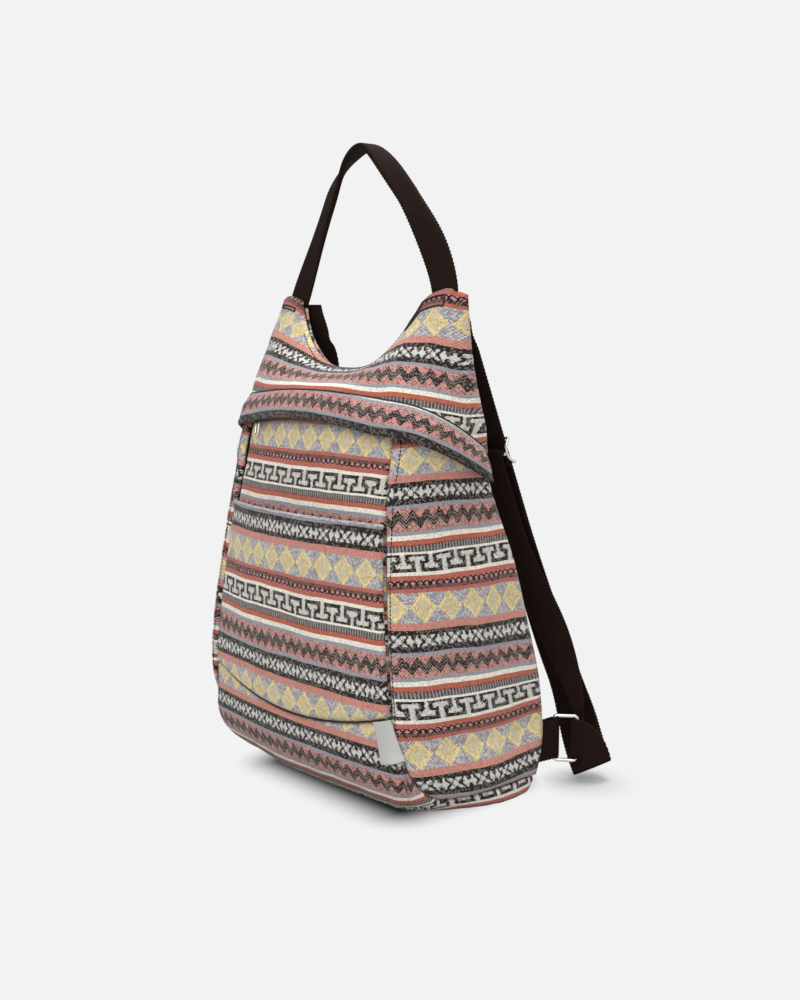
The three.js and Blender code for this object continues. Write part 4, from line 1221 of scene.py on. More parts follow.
arc_top = front_point(0, arch_height(0) - ZIP_OPENING)
arc_end = front_point(1, arch_height(FRONT_SHARE) - ZIP_OPENING)
arc_rise = Vector((0, arc_top.y - arc_end.y, arc_top.z - arc_end.z))
arc_radius = (arc_end.x**2 + arc_rise.length_squared) / (2 * arc_rise.length)
arc_up = arc_rise.normalized()
arc_axis = arc_up.cross(Vector((1, 0, 0)))
arc_centre = arc_top - arc_up * arc_radius
front_slope = (front_point(0, arc_top.z + 1) - front_point(0, arc_top.z - 1)).normalized()
front_out = Vector((0, -front_slope.z, front_slope.y))


def front_track(x):
    turn = Matrix.Rotation(math.asin(x / arc_radius), 3, arc_axis)
    return arc_centre + turn @ arc_up * arc_radius, turn @ Vector((1, 0, 0)), turn @ front_out


def back_track(x):
    return Vector((x, back_point(0, BACK_ZIP_HEIGHT).y, BACK_ZIP_HEIGHT)), Vector((-1, 0, 0)), back_out


def placed(axes, at):
    """Matrix that puts a shape made in mm on local axes at a point."""
    turn = Matrix([axes[0], axes[1], axes[2]]).transposed().to_4x4()
    return Matrix.Translation(at * MM) @ turn @ Matrix.Scale(MM, 4)


def strip(node, track, places, side):
    """One tape of a zip, bent up towards the cloth that it is sewn to."""
    section = [(COIL_HALF + SEAM, TAPE_DEPTH), (TAPE_BEND, TAPE_DEPTH), (TAPE_REACH, TAPE_EDGE_DEPTH)]
    rows = []
    for x in places:
        at, along, out = track(x)
        up = out.cross(along)
        rows.append([tuple(at + up * side * far - out * deep) for far, deep in section])
    grid = np.array(rows)
    if np.dot(outward(grid)[1, 1], track(0)[2]) < 0:
        grid = grid[:, ::-1]
    tape_map = cloth_places(lengths(grid, 1), lengths(grid, 0))
    sew(f"{node}_weave", node, grid, tape_map, TAPE, zip_tape, "zip_tape")


def coil(node, track, reach):
    """Turns of the coil, one small rounded bar each, in two interlocking rows round a flat core cord."""
    bm = bmesh.new()
    middle = (COIL_TOP + COIL_BOTTOM) / 2
    for k in range(int(2 * reach / COIL_PITCH)):
        at, along, out = track(-reach + (k + 0.5) * COIL_PITCH)
        up = out.cross(along)
        shift = COIL_SHIFT if k % 2 else -COIL_SHIFT
        turn = placed((along, up, out), at + up * shift - out * middle) @ Matrix.Diagonal((*COIL_TURN, 1))
        bmesh.ops.create_uvsphere(bm, u_segments=8, v_segments=5, radius=1, matrix=turn)
        core = placed((up, out, along), at - out * (middle + CORE_BELOW)) @ Matrix.Diagonal((*CORE_TURN, 1))
        bmesh.ops.create_cone(bm, cap_ends=True, segments=10, radius1=1, radius2=1, depth=1, matrix=core)
    ride_as(finish_mesh(bm, f"{node}_turns", coil_nylon), "bag", node)


def slider(node, track, x, lift):
    """Cast body with rounded edges, and a riveted peg that holds the puller."""
    at, along, out = track(x)
    bm = bmesh.new()
    spots = [(SLIDER_LENGTH * a, SLIDER_WIDTH / 2 * b, SLIDER_FOOT) for a, b in SLIDER_OUTLINE]
    face = bm.faces.new([bm.verts.new(spot) for spot in spots])
    raised = bmesh.ops.extrude_face_region(bm, geom=[face])
    tops = [v for v in raised["geom"] if isinstance(v, bmesh.types.BMVert)]
    bmesh.ops.translate(bm, verts=tops, vec=(0, 0, -SLIDER_FOOT - SLIDER_TOP))
    bmesh.ops.recalc_face_normals(bm, faces=bm.faces)
    bmesh.ops.bevel(
        bm,
        geom=bm.edges[:],
        offset=SLIDER_ROUND,
        segments=3,
        profile=0.5,
        affect="EDGES",
        clamp_overlap=True,
        material=-1,
    )
    head = lift + PULLER_WIRE + PEG_PLAY
    stem = (PEG_RADIUS, -SLIDER_TOP - PEG_ROOT, head + PEG_TENON)
    for radius, low, high in (stem, (PEG_HEAD, head, head + PEG_CAP)):
        post = Matrix.Translation((0, 0, (low + high) / 2))
        size = {"radius1": radius, "radius2": radius * PEG_TAPER, "depth": high - low}
        bmesh.ops.create_cone(bm, cap_ends=True, segments=24, matrix=post, **size)
    bmesh.ops.transform(bm, verts=bm.verts, matrix=placed((along, out.cross(along), out), at))
    piece = finish_mesh(bm, f"{node}_body", nickel)
    piece.data.set_sharp_from_angle(angle=math.radians(40))
    ride_as(piece, node, node)


def puller(node, track, x, lift):
    """Long loop of wire that hangs from the peg."""
    at, along, out = track(x)
    up = out.cross(along)
    wire = PULLER_WIRE / 2
    radius = PULLER_WIDTH / 2 - wire
    foot = PULLER_TOP - (PULLER_LENGTH - PULLER_WIDTH)
    middle = at + out * (lift + wire)
    points = []
    for start, height in ((0, -PULLER_TOP), (math.pi, foot)):
        for angle in np.linspace(start, start + math.pi, 13):
            side = radius * math.cos(angle)
            points.append(middle + along * side + up * (height + radius * math.sin(angle)))
    ride_as(tube(f"{node}_wire", points, wire, nickel, True), node, node)


front_zip_end = arc_end.x - 4 * TURN_IN
back_zip_end = back_seam(BACK_ZIP_HEIGHT).x - BACK_ZIP_MARGIN
puller_foot = BACK_ZIP_HEIGHT - PULLER_LENGTH * back_slope.z
back_swell = max(0, (back_point(0, puller_foot) - back_point(0, BACK_ZIP_HEIGHT)).dot(back_out))
zips = (
    ("front", front_track, front_zip_end, ZIP_STOP - front_zip_end, PULLER_LIFT),
    ("back", back_track, back_zip_end, back_zip_end - ZIP_STOP, PULLER_LIFT + back_swell),
)
for end, track, reach, rest, lift in zips:
    sewn_in = reach + (ZIP_SEWN_IN if end == "back" else 0)
    places = np.linspace(-sewn_in, sewn_in, 41)
    strip(f"{end}_zip_tape_upper", track, places, 1)
    strip(f"{end}_zip_tape_lower", track, places, -1)
    coil(f"{end}_zip_coil", track, sewn_in)
    slider(f"{end}_zip_slider", track, rest, lift)
    puller(f"{end}_zip_puller", track, rest, lift)

# Stitching in dark thread: a row beside each front seam, a row inside the scooped edge, and boxes on the
# horns. Dark cords along the base seam and above the flap are painted shade, standing for the shadow in
# those seam gaps.
STITCH = 2.9
STITCH_SIZE = (1.36, 0.5, 0.5)
FRONT_STITCH_INSET = 9.0
SCOOP_STITCH_INSET = 5
SCOOP_COLUMNS = slice(28, -28)
HORN_BOXES = (("left", range(9, 20), 9.5, 12), ("right", range(107, 126), 6.5, 14))
HORN_THREAD = 0.7
HORN_THREAD_PROUD = 0.45
# This dark finish serves the real stitches and also the painted seam shade cords below.
thread_and_seam_shade, thread_shader, thread_ply = grained("thread_and_seam_shade", 0.8, 1200.0)
thread_ply.mixed("15100f", "2e2523").feed(thread_shader)


def inset(shape, facing, gap):
    """Places and outward directions along a panel, at a distance from its first edge."""
    across = lengths(shape, 0)
    rows = range(shape.shape[1])
    spots = [[np.interp(gap, across[:, j], shape[:, j, k]) for k in range(3)] for j in rows]
    outs = [[np.interp(gap, across[:, j], facing[:, j, k]) for k in range(3)] for j in rows]
    return np.array(spots), np.array(outs)


def stitch(bm, spots, outs):
    """Sews single stitches along places on the cloth."""
    run = np.concatenate([[0], np.cumsum(np.linalg.norm(np.diff(spots, axis=0), axis=1))])

    def at(values, distance):
        return Vector([np.interp(distance, run, values[:, k]) for k in range(3)])

    for distance in np.arange(STITCH, run[-1] - STITCH / 2, STITCH):
        ahead = (at(spots, distance + 0.4) - at(spots, distance - 0.4)).normalized()
        out = at(outs, distance).normalized()
        out = (out - ahead * out.dot(ahead)).normalized()
        spot = placed((ahead, out.cross(ahead), out), at(spots, distance))
        size = Matrix.Diagonal((*STITCH_SIZE, 1))
        bmesh.ops.create_uvsphere(bm, u_segments=6, v_segments=5, radius=1, matrix=spot @ size)


yoke_final = settle(yoke_shape)
yoke_turned = yoke_final[:, ::-1].transpose(1, 0, 2)
yoke_facing = outward(yoke_final)[:, ::-1].transpose(1, 0, 2)


def horn_box(columns, top, low):
    """Places round a box sewn through a horn, between two columns of the yoke."""
    rows = [inset(yoke_turned, yoke_facing, gap) for gap in np.linspace(top, low, 5)]
    spots = [(0, c) for c in columns] + [(r, columns[-1]) for r in range(1, 5)]
    spots += [(4, c) for c in columns[::-1]] + [(r, columns[0]) for r in range(3, -1, -1)]
    return np.array([rows[r][0][c] + rows[r][1][c] * HORN_THREAD_PROUD for r, c in spots])


bm = bmesh.new()
for end, shape in side_shapes.items():
    shape = settle(shape)
    facing = outward(shape)
    if end == "left":
        shape, facing = shape[::-1], facing[::-1]
    stitch(bm, *inset(shape, facing, FRONT_STITCH_INSET))
stitch(bm, *(row[SCOOP_COLUMNS] for row in inset(yoke_turned, yoke_facing, SCOOP_STITCH_INSET)))
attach(finish_mesh(bm, "dark_stitches", thread_and_seam_shade), "bag")
for end, columns, top, low in HORN_BOXES:
    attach(tube(f"horn_box_{end}", horn_box(columns, top, low), HORN_THREAD, thread_and_seam_shade, True), "bag")
# Painted shade: dark cords along the base seam and the flap's top seam stand for the shadow in those seam
# gaps.
painted_seam_shades = (
    ("base_seam_painted_shade", pocket_shape, 0, 0.6, 0.45),
    ("flap_seam_painted_shade", flap_shape, -1, 0.35, 0.5),
)
for name, shape, row, proud, radius in painted_seam_shades:
    spots = settle(shape)[:, row] + outward(shape)[:, row] * proud
    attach(tube(name, spots, radius, thread_and_seam_shade), "bag")

# Carry handle, one length of dark brown cotton webbing sewn into both horns. It turns edge-on and is folded
# double towards its apex, and its woven edges are slightly scalloped.
WEBBING_WIDTH = 30
WEBBING = 2
SCALLOP = 5.6
SCALLOP_DEPTH = 0.7
STEP = 0.6


def webbing_yarn():
    yarn, shader, thread = new_finish("brown_webbing", 0.9)
    shader.inputs["Specular IOR Level"].default_value = 0.12
    place = thread.node("ShaderNodeUVMap", {"uv_map": "webbing"}, {})
    across = place.axis(0)
    along = place.axis(1)
    zig = abs((across * 0.2).part() - 0.5) * 2.4
    rib = abs(((along + zig) * 0.62).part() - 0.5) * 2
    end = abs((across * 1.1).part() - 0.5) * 2
    fleck = (across * 1.1).floor().speckle((along * 0.62 + zig).floor())
    (0.45 * rib + 0.25 * fleck + 0.3 * end).mixed("100806", "2a1912").feed(shader)
    (0.6 * rib + 0.3 * end + 0.2 * fleck).emboss(shader, 0.6, 0.0005)
    return yarn


brown_webbing = webbing_yarn()
SECTION = [(x, 1) for x in np.linspace(-0.95, 0.95, 9)] + [(1, 0.45), (1, -0.45)]
SECTION += [(x, -1) for x in np.linspace(0.95, -0.95, 9)] + [(-1, -0.45), (-1, 0.45)]


def line(a, b):
    return lambda share: a.lerp(b, share)


def bend(a, b, c, d):
    return lambda share: bezier(a, b, c, d, share)


def walk(curves, sides, widths, thicknesses, slanted=False):
    """Frames along a chain of curves, in mm: place, side, face, width, thickness and length so far."""
    frames = []
    run = 0.0
    for i, curve in enumerate(curves):
        spots = [curve(k / 40) for k in range(41)]
        count = max(2, round(sum((b - a).length for a, b in zip(spots, spots[1:])) / STEP))
        for k in range(0 if i == 0 else 1, count + 1):
            share = k / count
            at = curve(share)
            ahead = (curve(min(1, share + 1e-3)) - curve(max(0, share - 1e-3))).normalized()
            eased = ease(share)
            side = sides[i].lerp(sides[i + 1], eased)
            if not slanted:
                side = side - ahead * side.dot(ahead)
            side.normalize()
            if frames:
                run += (at - frames[-1][0]).length
            width = lerp(widths[i], widths[i + 1], eased)
            thick = lerp(thicknesses[i], thicknesses[i + 1], eased)
            frames.append((at, side, ahead.cross(side).normalized(), width, thick, run))
    return frames


def weave_strap(name, frames, cup=0.0):
    """Webbing along its frames, closed all round, with scalloped edges."""
    shape = []
    places = []
    for at, side, face, width, thick, run in frames:
        wave = SCALLOP_DEPTH * math.sin(2 * math.pi * run / SCALLOP)
        ring = []
        for x, y in SECTION + SECTION[:1]:
            edge = max(0, abs(x) - 0.9) / 0.1
            out = x * width / 2 + math.copysign(edge * wave, x)
            deep = y * thick / 2 * (1 - 0.25 * edge) + cup * width * (x * x - 0.4)
            ring.append(tuple(at + side * out + face * deep))
        shape.append(ring)
        spots = [x * width / 2 + (40 if y < 0 else 0) for x, y in SECTION + SECTION[:1]]
        places.append([(spot, run) for spot in spots])
    shape = np.array(shape).transpose(1, 0, 2)
    places = np.array(places).transpose(1, 0, 2)
    piece = lay_grid(name, shape, places, brown_webbing, "webbing")
    weld(piece, capped=True)
    return piece


HANDLE_APEX = (2, 477)
HANDLE_MOUTH_LEFT = -83
HANDLE_KNEE_LEFT = (-43.6, 438)
HANDLE_KNEE_RIGHT = (49, 438)
HANDLE_EASE = 0.26
HANDLE_BENDS = ((-14, 477), (12, 477), (32, 456), (62, 422), (86, 394))
HANDLE_TAIL = 3
HANDLE_WIDTHS = (22, 22, 15, 15, 15, 26, 24)
HANDLE_THICKNESSES = (2, 2, 4.4, 4.4, 4.4, 2, 2)


def handle_frames():
    def at(x, z):
        return Vector((x, HORN_SETBACK, z))

    horn = (HORN_INNER + HORN_OUTER) / 2
    apex = at(*HANDLE_APEX)
    knee_left = at(*HANDLE_KNEE_LEFT)
    knee_right = at(*HANDLE_KNEE_RIGHT)
    mouth_left = at(HANDLE_MOUTH_LEFT, HORN_HEIGHT)
    mouth_right = at(horn - 1.5, HORN_HEIGHT)
    leg = knee_left - mouth_left
    bends = [at(*spot) for spot in HANDLE_BENDS]
    curves = [
        line(mouth_left - leg * (HANDLE_TAIL / leg.z), mouth_left),
        line(mouth_left, knee_left),
        bend(knee_left, knee_left + leg * HANDLE_EASE, bends[0], apex),
        bend(apex, bends[1], bends[2], knee_right),
        bend(knee_right, bends[3], bends[4], mouth_right),
        line(mouth_right, at(horn - 1, HORN_HEIGHT - HANDLE_TAIL)),
    ]
    sides = [(1, 0, 0), (1, 0, 0), (0.95, -0.3, -0.3), (0, -1, 0)]
    sides += [(-0.85, -0.5, -0.2), (-1, 0, 0), (-1, 0, 0)]
    return walk(curves, [Vector(s) for s in sides], HANDLE_WIDTHS, HANDLE_THICKNESSES)


ride_as(weave_strap("carry_handle_webbing", handle_frames()), "bag", "carry_handle")

# Shoulder straps, the same webbing. Each main run is sewn behind its horn, passes through the adjuster and
# falls in a slack bow to a crease on the floor. The return run comes back through the ring to the adjuster.
STRAP_X = 93
STRAP_SEWN = 20
STRAP_END = 19
LEFT_STRAP_INWARDS = 20
RUN_TOP = Vector((93.5, 15, 325))
RUN_BOTTOM = Vector((96.5, 62, 205))
FOLD_DROP = Vector((9, 8.7, -22.5))
FOLD_SIDE = Vector((0.6, 0.7, 0.386)).normalized()
FOLD_RISE = Vector((-0.77, 0.385, 0.5)).normalized()
LOOP_DOWN = Vector((-0.1, 0.45, -0.9)).normalized()
HANG = Vector((106.5, 110, 77))
HANG_DOWN = Vector((0.1, 0.38, -0.92)).normalized()
ANCHOR_INSET = 3
ANCHOR_HEIGHT = 32
ANCHOR_LENGTH = 18
RING_HEIGHT = 38
RING_LENGTH = 20
RING_YAW = math.radians(50)
RING_WIRE = 3
RING_CORNER = 2.2
WRAP_GAP = 0.35
BAR_STRAIGHT = 3
ADJUSTER_SHARE = 0.6
ADJUSTER_LENGTH = 22
ADJUSTER_BAR = 2.2
ADJUSTER_KNEE = 4
TAIL_LENGTH = 12
BEND_END = 33
SEWN_BEND = 8
HANG_BEND = 40
FOLD_BEND = 32
RETURN_BEND = 60
RING_BEND = (9, -3, 34)
ADJUSTER_GRIP = 16
RING_GRIP = 4
RING_SWAY = (90, 22)

UPRIGHT = Vector((0, 0, 1))
run_down = (RUN_BOTTOM - RUN_TOP).normalized()
across_run = Vector((1, 0, 0))
across_run = (across_run - run_down * across_run.dot(run_down)).normalized()
run_inner = run_down.cross(across_run)
wrap_radius = RING_WIRE / 2 + WRAP_GAP + WEBBING / 2
near_bar = Vector((BACK_WIDTH[0] / 2 - ANCHOR_INSET, BACK_REACH[0] + SEAM + ANCHOR_LENGTH, ANCHOR_HEIGHT))
ring_out = Vector((math.sin(RING_YAW), math.cos(RING_YAW), 0))
ring_face = Vector((math.cos(RING_YAW), -math.sin(RING_YAW), 0))
far_bar = near_bar + ring_out * (RING_LENGTH - RING_WIRE)
fold = far_bar + FOLD_DROP
adjuster_at = RUN_TOP.lerp(RUN_BOTTOM, ADJUSTER_SHARE)
loop_radius = ADJUSTER_BAR / 2 + WRAP_GAP + WEBBING / 2
middle_bar = WEBBING + SEAM + loop_radius
outer_bar = WEBBING / 2 + WRAP_GAP + ADJUSTER_BAR / 2


def even(curves, sides, slanted=False):
    count = len(sides)
    return walk(curves, sides, [WEBBING_WIDTH] * count, [WEBBING] * count, slanted)


def horn_back(up, x):
    wrap = x / HORN_OUTER
    at = upper_back(wrap, up)
    across = upper_back(wrap - 1e-3, up) - upper_back(wrap + 1e-3, up)
    climbing = upper_back(wrap, up + 1e-3) - upper_back(wrap, up - 1e-3)
    return at + across.cross(climbing).normalized() * (SEAM + WEBBING / 2)


def main_frames(inwards):
    shift = Vector((inwards, 0, 0))
    sewn_top = horn_back(0.99, STRAP_X - inwards)
    sewn_top.z = HORN_HEIGHT - 3 - inwards / 9
    seam = horn_back(0.99 - STRAP_SEWN / 140, STRAP_X - inwards)
    sewn_down = (seam - sewn_top).normalized()
    run_level = adjuster_at - run_down * BEND_END
    curves = [
        line(sewn_top, seam),
        bend(seam, seam + sewn_down * SEWN_BEND, RUN_TOP - run_down * SEWN_BEND - shift, RUN_TOP - shift),
        bend(RUN_TOP - shift, RUN_TOP.lerp(run_level, 0.4) - shift, RUN_TOP.lerp(run_level, 0.6), run_level),
        line(run_level, RUN_BOTTOM),
        bend(RUN_BOTTOM, RUN_BOTTOM + run_down * HANG_BEND, HANG - HANG_DOWN * HANG_BEND, HANG),
        bend(HANG, HANG + HANG_DOWN * HANG_BEND, fold + FOLD_RISE * FOLD_BEND, fold),
    ]
    x = Vector((1, 0, 0))
    sides = [x, x, x, across_run, across_run, Vector((0.97, 0.25, 0)), FOLD_SIDE]
    return walk(curves, sides, [STRAP_END] + [WEBBING_WIDTH] * 6, [WEBBING] * 7)


def bar_wrap(bar, radius, first, last):
    def curve(share):
        angle = lerp(first, last, share)
        return bar + Vector((math.cos(angle), math.sin(angle), 0)) * radius

    return curve


def return_frames():
    bar = adjuster_at + run_inner * middle_bar
    tail_top = bar - run_inner * loop_radius
    run_start = bar + run_inner * loop_radius
    run_end = RUN_BOTTOM + run_inner * (middle_bar + loop_radius)
    reach = loop_radius * 4 / 3
    arrive = far_bar - ring_face * wrap_radius
    in_front = arrive + ring_out * BAR_STRAIGHT
    leave = far_bar + ring_face * wrap_radius
    behind = leave + ring_out * BAR_STRAIGHT
    crease_end = fold + FOLD_SIDE.cross(FOLD_RISE).normalized() * (WEBBING + 2 * SEAM)
    out, across, up = RING_BEND
    above = in_front + ring_out * out + ring_face * across + UPRIGHT * up
    upper = [
        line(tail_top + run_down * TAIL_LENGTH, tail_top),
        bend(tail_top, tail_top - run_down * reach, run_start - run_down * reach, run_start),
        line(run_start, run_end),
    ]
    middle = [
        bend(run_end, run_end + run_down * RETURN_BEND, above, in_front),
        line(in_front, arrive),
        bar_wrap(far_bar, wrap_radius, -math.pi - RING_YAW, -RING_YAW),
    ]
    lower = [
        line(leave, behind),
        bend(behind, behind + ring_out * 6 + ring_face * 2, crease_end - LOOP_DOWN * 6, crease_end),
    ]
    return (
        even(upper, [across_run] * 4, True),
        even(middle, [across_run, UPRIGHT, UPRIGHT, UPRIGHT], True),
        even(lower, [UPRIGHT, UPRIGHT, FOLD_SIDE], True),
        run_end,
    )


def mirrored(frames):
    """The same webbing on the left of the bag."""

    def over(v):
        return Vector((-v.x, v.y, v.z))

    return [(over(at), over(side), -over(face), *rest) for at, side, face, *rest in frames]


def across_bag(point, sign):
    return Vector((sign * point.x, point.y, point.z)) * MM


for end, sign in (("right", 1), ("left", -1)):
    main = main_frames(0 if sign > 0 else LEFT_STRAP_INWARDS)
    upper, middle, lower, run_end = return_frames()
    if sign < 0:
        main, upper, middle, lower = (mirrored(f) for f in (main, upper, middle, lower))
    ride_as(weave_strap(f"strap_main_{end}_webbing", main, 0.012), "bag", f"strap_main_{end}")
    runs = (
        ("upper", upper, f"adjuster_{end}", "bag", adjuster_at + run_down * ADJUSTER_GRIP, run_end),
        ("middle", middle, "bag", f"ring_{end}", *(far_bar + UPRIGHT * up for up in RING_SWAY)),
        ("loop", lower, f"ring_{end}", "bag", far_bar - UPRIGHT * RING_GRIP, fold),
    )
    for part, frames, first, last, start, stop in runs:
        piece = weave_strap(f"strap_return_{end}_{part}", frames)
        across_bag(start, sign)
        across_bag(stop, sign)
        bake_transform(piece)
        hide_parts(f"strap_return_{end}")

# Anchor loops, short folded lengths of the webbing sewn into the lower back corners, each round the near bar
# of its ring.
ANCHOR_SEWN_IN = 4.5
ANCHOR_BEND = Vector((0, 7, 0))


def anchor_frames():
    back = BACK_REACH[0] + SEAM
    sewn = SEAM / 2 + WEBBING / 2

    def leg(side):
        start = Vector((near_bar.x + side * sewn, back - ANCHOR_SEWN_IN, ANCHOR_HEIGHT))
        end = Vector((near_bar.x + side * wrap_radius, near_bar.y, ANCHOR_HEIGHT))
        return [start, start + ANCHOR_BEND, end - ANCHOR_BEND, end]

    curves = [bend(*leg(1)), bar_wrap(near_bar, wrap_radius, 0, math.pi), bend(*leg(-1)[::-1])]
    return even(curves, [UPRIGHT] * 4)


for end, sign in (("right", 1), ("left", -1)):
    frames = anchor_frames() if sign > 0 else mirrored(anchor_frames())
    ride_as(weave_strap(f"anchor_loop_{end}_webbing", frames), "bag", f"anchor_loop_{end}")

# Rings and adjusters of polished nickel. A ring is a rectangle of round wire. An adjuster has two rails with
# three bars between them, which the webbing threads over and under.


def ring_points(sign):
    half_length = (RING_LENGTH - RING_WIRE) / 2 - RING_CORNER
    half_height = (RING_HEIGHT - RING_WIRE) / 2 - RING_CORNER
    middle = near_bar.lerp(far_bar, 0.5)
    points = []
    for quarter, (right, top) in enumerate(((1, 1), (-1, 1), (-1, -1), (1, -1))):
        for k in range(7):
            angle = (quarter + k / 6) * math.pi / 2
            out = right * half_length + RING_CORNER * math.cos(angle)
            up = top * half_height + RING_CORNER * math.sin(angle)
            point = middle + ring_out * out + UPRIGHT * up
            points.append((sign * point.x, point.y, point.z))
    return points


def adjuster(end, sign):
    """Wire slider: three bars across, and a bent wire at each side that joins their ends."""
    out = -run_inner
    along = out.cross(across_run)
    inside = WEBBING_WIDTH / 2 + WRAP_GAP + ADJUSTER_BAR / 2
    reach = (ADJUSTER_LENGTH - ADJUSTER_BAR) / 2 - WRAP_GAP
    bars = ((reach, outer_bar), (0, -middle_bar), (-reach, outer_bar))
    knees = [bars[0], (ADJUSTER_KNEE, -middle_bar), (-ADJUSTER_KNEE, -middle_bar), bars[2]]
    rail = [bezier(*(Vector(spot) for spot in knees), k / 12) for k in range(13)]

    def at(x, y, z):
        point = adjuster_at + across_run * x + along * y + out * z
        return (sign * point.x, point.y, point.z)

    lines = [[at(-inside, *bar), at(inside, *bar)] for bar in bars]
    lines += [[at(side, *spot) for spot in rail] for side in (-inside, inside)]
    bm = bmesh.new()
    for points in lines:
        wire = tube(f"adjuster_{end}_wire", points, ADJUSTER_BAR / 2, nickel)
        bm.from_mesh(wire.data)
        bpy.data.objects.remove(wire)
    return finish_mesh(bm, f"adjuster_{end}_metal", nickel)


for end, sign in (("right", 1), ("left", -1)):
    wire = tube(f"ring_{end}_wire", ring_points(sign), RING_WIRE / 2, nickel, True)
    ride_as(wire, f"ring_{end}", f"ring_{end}")
    ride_as(adjuster(end, sign), f"adjuster_{end}", f"adjuster_{end}")

# Label, a bare strip of grey satin ribbon beside the right front corner. Its upper edge is caught in the
# base seam, and it hangs free below.
LABEL_WIDTH = 16
LABEL_HEIGHT = 27.5
LABEL_LEFT = 16
LABEL_SLANT = 9
LABEL_GAP = 0.8
LABEL_CUP = 1.2
LABEL_CURL = 2.2
LABEL_RIBBON = 0.5
LABEL_COLUMNS = 20
LABEL_ROWS = 30
satin, satin_shader, satin_thread = new_finish("grey_satin", 0.42)
satin_spot = satin_thread.node("ShaderNodeUVMap", {"uv_map": "cloth"}, {})
satin_pick = abs((satin_spot.axis(1) * 260).part() - 0.5) * 2
satin_end = abs((satin_spot.axis(0) * 44).part() - 0.5) * 2
(0.6 * satin_pick + 0.4 * satin_end).mixed("b0b0ac", "cacac5").feed(satin_shader)
satin_pick.emboss(satin_shader, 0.3, 0.0002)


def corner_point(past, z):
    if past <= 0:
        return front_point(1 + past / front_seam(z).x, z)
    return side_point(past / (3 * CORNER_HANDLE), z)


def label_surface(u, v):
    past = lerp(-LABEL_LEFT, LABEL_WIDTH - LABEL_LEFT, u)
    seam = base_front(1 + past / front_seam(HIP_HEIGHT).x) - SEAM
    return corner_point(past + LABEL_SLANT * (1 - v), seam - LABEL_HEIGHT * (1 - v))


label_grid = sample(label_surface, LABEL_COLUMNS, LABEL_ROWS)
label_lift = SEAM + LABEL_GAP + LABEL_CUP * np.sin(np.linspace(0, 1, LABEL_COLUMNS + 1) * math.pi)[:, None]
label_lift = label_lift + LABEL_CURL * np.linspace(1, 0, LABEL_ROWS + 1)[None, :] ** 2
label_shape = label_grid + outward(label_grid) * label_lift[..., None]
label_map = cloth_places(lengths(label_grid, 0), lengths(label_grid, 1))
label = sew("label_satin_ribbon", "label", label_shape, label_map, LABEL_RIBBON, satin, "label_satin")
cut(label_grid)

# Studio: a pale floor that runs out into a pale background, its colour painted darker round the bag as a
# painted contact shadow, two soft lamps overhead, and the camera at the photograph's angle.
PALE = dye("f2f2f2")
SHADE_MIDDLE = 0.025
SHADE_HALF = (0.07, 0.047)
SHADE_REACH = 0.045
SHADE_TONES = (0.14, 0.5)
FOLD_SHADE = (0.143, 0.1)
SKY = (0.95, 0.975, 1.0, 1)
SKY_STRENGTH = 0.6


def distance(side, back):
    return (side * side + back * back).math("SQRT")


def seen_plain(thread):
    """Rays from the camera, off metal and through glass, which see the plain background."""
    camera_ray, metal_ray, glass_ray = (thread.node("ShaderNodeLightPath", {}, {}, k) for k in (0, 3, 6))
    return camera_ray | metal_ray | glass_ray


pale_floor, floor_shader, floor_thread = new_finish("pale_floor", 0.9)
floor_shader.inputs["Specular IOR Level"].default_value = 0.0
floor_spot = floor_thread.node("ShaderNodeTexCoord", {}, {}, 3)
floor_x = floor_spot.axis(0)
floor_y = floor_spot.axis(1)
past_side = (abs(floor_x - SHADE_MIDDLE) - SHADE_HALF[0]) | 0.0
past_front = (abs(floor_y) - SHADE_HALF[1]) | 0.0
from_bag = distance(past_side, past_front)
far_off = from_bag.math("MINIMUM", distance(floor_x - FOLD_SHADE[0], floor_y - FOLD_SHADE[1]))
smooth = {"interpolation_type": "SMOOTHSTEP"}
# Painted shadow: the floor's own colour darkens towards the bag's footprint, standing in for its contact
# shadow.
shade_sockets = {0: from_bag, 2: SHADE_REACH, 3: SHADE_TONES[0], 4: SHADE_TONES[1]}
painted_floor_shadow = from_bag.node("ShaderNodeMapRange", smooth, shade_sockets)
painted_floor_shadow.feed(floor_shader)
fade = far_off.node("ShaderNodeMapRange", smooth, {0: far_off, 2: SHADE_REACH})
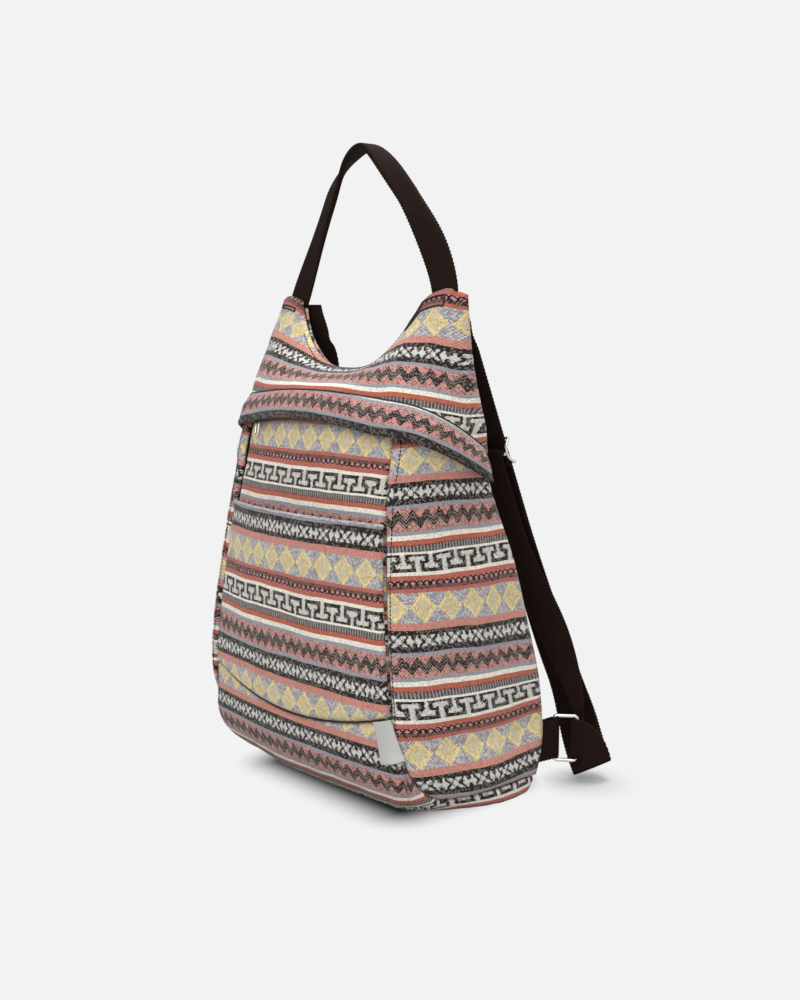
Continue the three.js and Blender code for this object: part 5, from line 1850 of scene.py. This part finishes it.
glow = floor_thread.node("ShaderNodeEmission", {}, {"Color": (*PALE, 1), "Strength": 1.0})
matt = Thread(pale_floor.node_tree, floor_shader.outputs[0])
ground = floor_thread.node("ShaderNodeMixShader", {}, {0: fade * seen_plain(floor_thread), 1: matt, 2: glow})
ground.feed(pale_floor.node_tree.nodes["Material Output"], "Surface")
bm = bmesh.new()
bmesh.ops.create_grid(bm, x_segments=8, y_segments=8, size=30)
finish_mesh(bm, "studio_floor", pale_floor)

scene = bpy.context.scene
scene.view_settings.view_transform = "Standard"
world = bpy.data.worlds.new("studio")
scene.world = world
world.use_nodes = True
sky = Thread(world.node_tree)
backing = world.node_tree.nodes["Background"]
backing.inputs["Color"].default_value = SKY
backing.inputs["Strength"].default_value = SKY_STRENGTH
plain = sky.node("ShaderNodeBackground", {}, {"Color": (*PALE, 1), "Strength": 1.0})
lit = Thread(world.node_tree, backing.outputs[0])
shown = sky.node("ShaderNodeMixShader", {}, {0: seen_plain(sky), 1: lit, 2: plain})
shown.feed(world.node_tree.nodes["World Output"], "Surface")


def lamp(name, at, target, size, power):
    light = bpy.data.lights.new(name, "AREA")
    light.shape = "DISK"
    light.size = size
    light.energy = power
    holder = bpy.data.objects.new(name, light)
    holder.location = at
    holder.rotation_euler = (Vector(target) - Vector(at)).to_track_quat("-Z", "Y").to_euler()
    scene.collection.objects.link(holder)


lamp("key_lamp", (0.05, 0.4, 1.8), (0, 0, 0.1), 0.7, 24)
lamp("fill_lamp", (0.75, -1.45, 1.5), (0, 0, 0.15), 2.0, 22)

EYE = Vector((757.7, -609.8, 332.45)) * MM
AZIMUTH = math.radians(49.66)
PITCH = math.radians(7.14)
FOCAL = 45.54
camera = bpy.data.cameras.new("camera")
camera.sensor_width = 36
camera.lens = FOCAL
camera.clip_start = 0.01
viewer = bpy.data.objects.new("camera", camera)
viewer.location = EYE
viewer.rotation_euler = (math.pi / 2 - PITCH, 0, AZIMUTH)
scene.collection.objects.link(viewer)
scene.camera = viewer
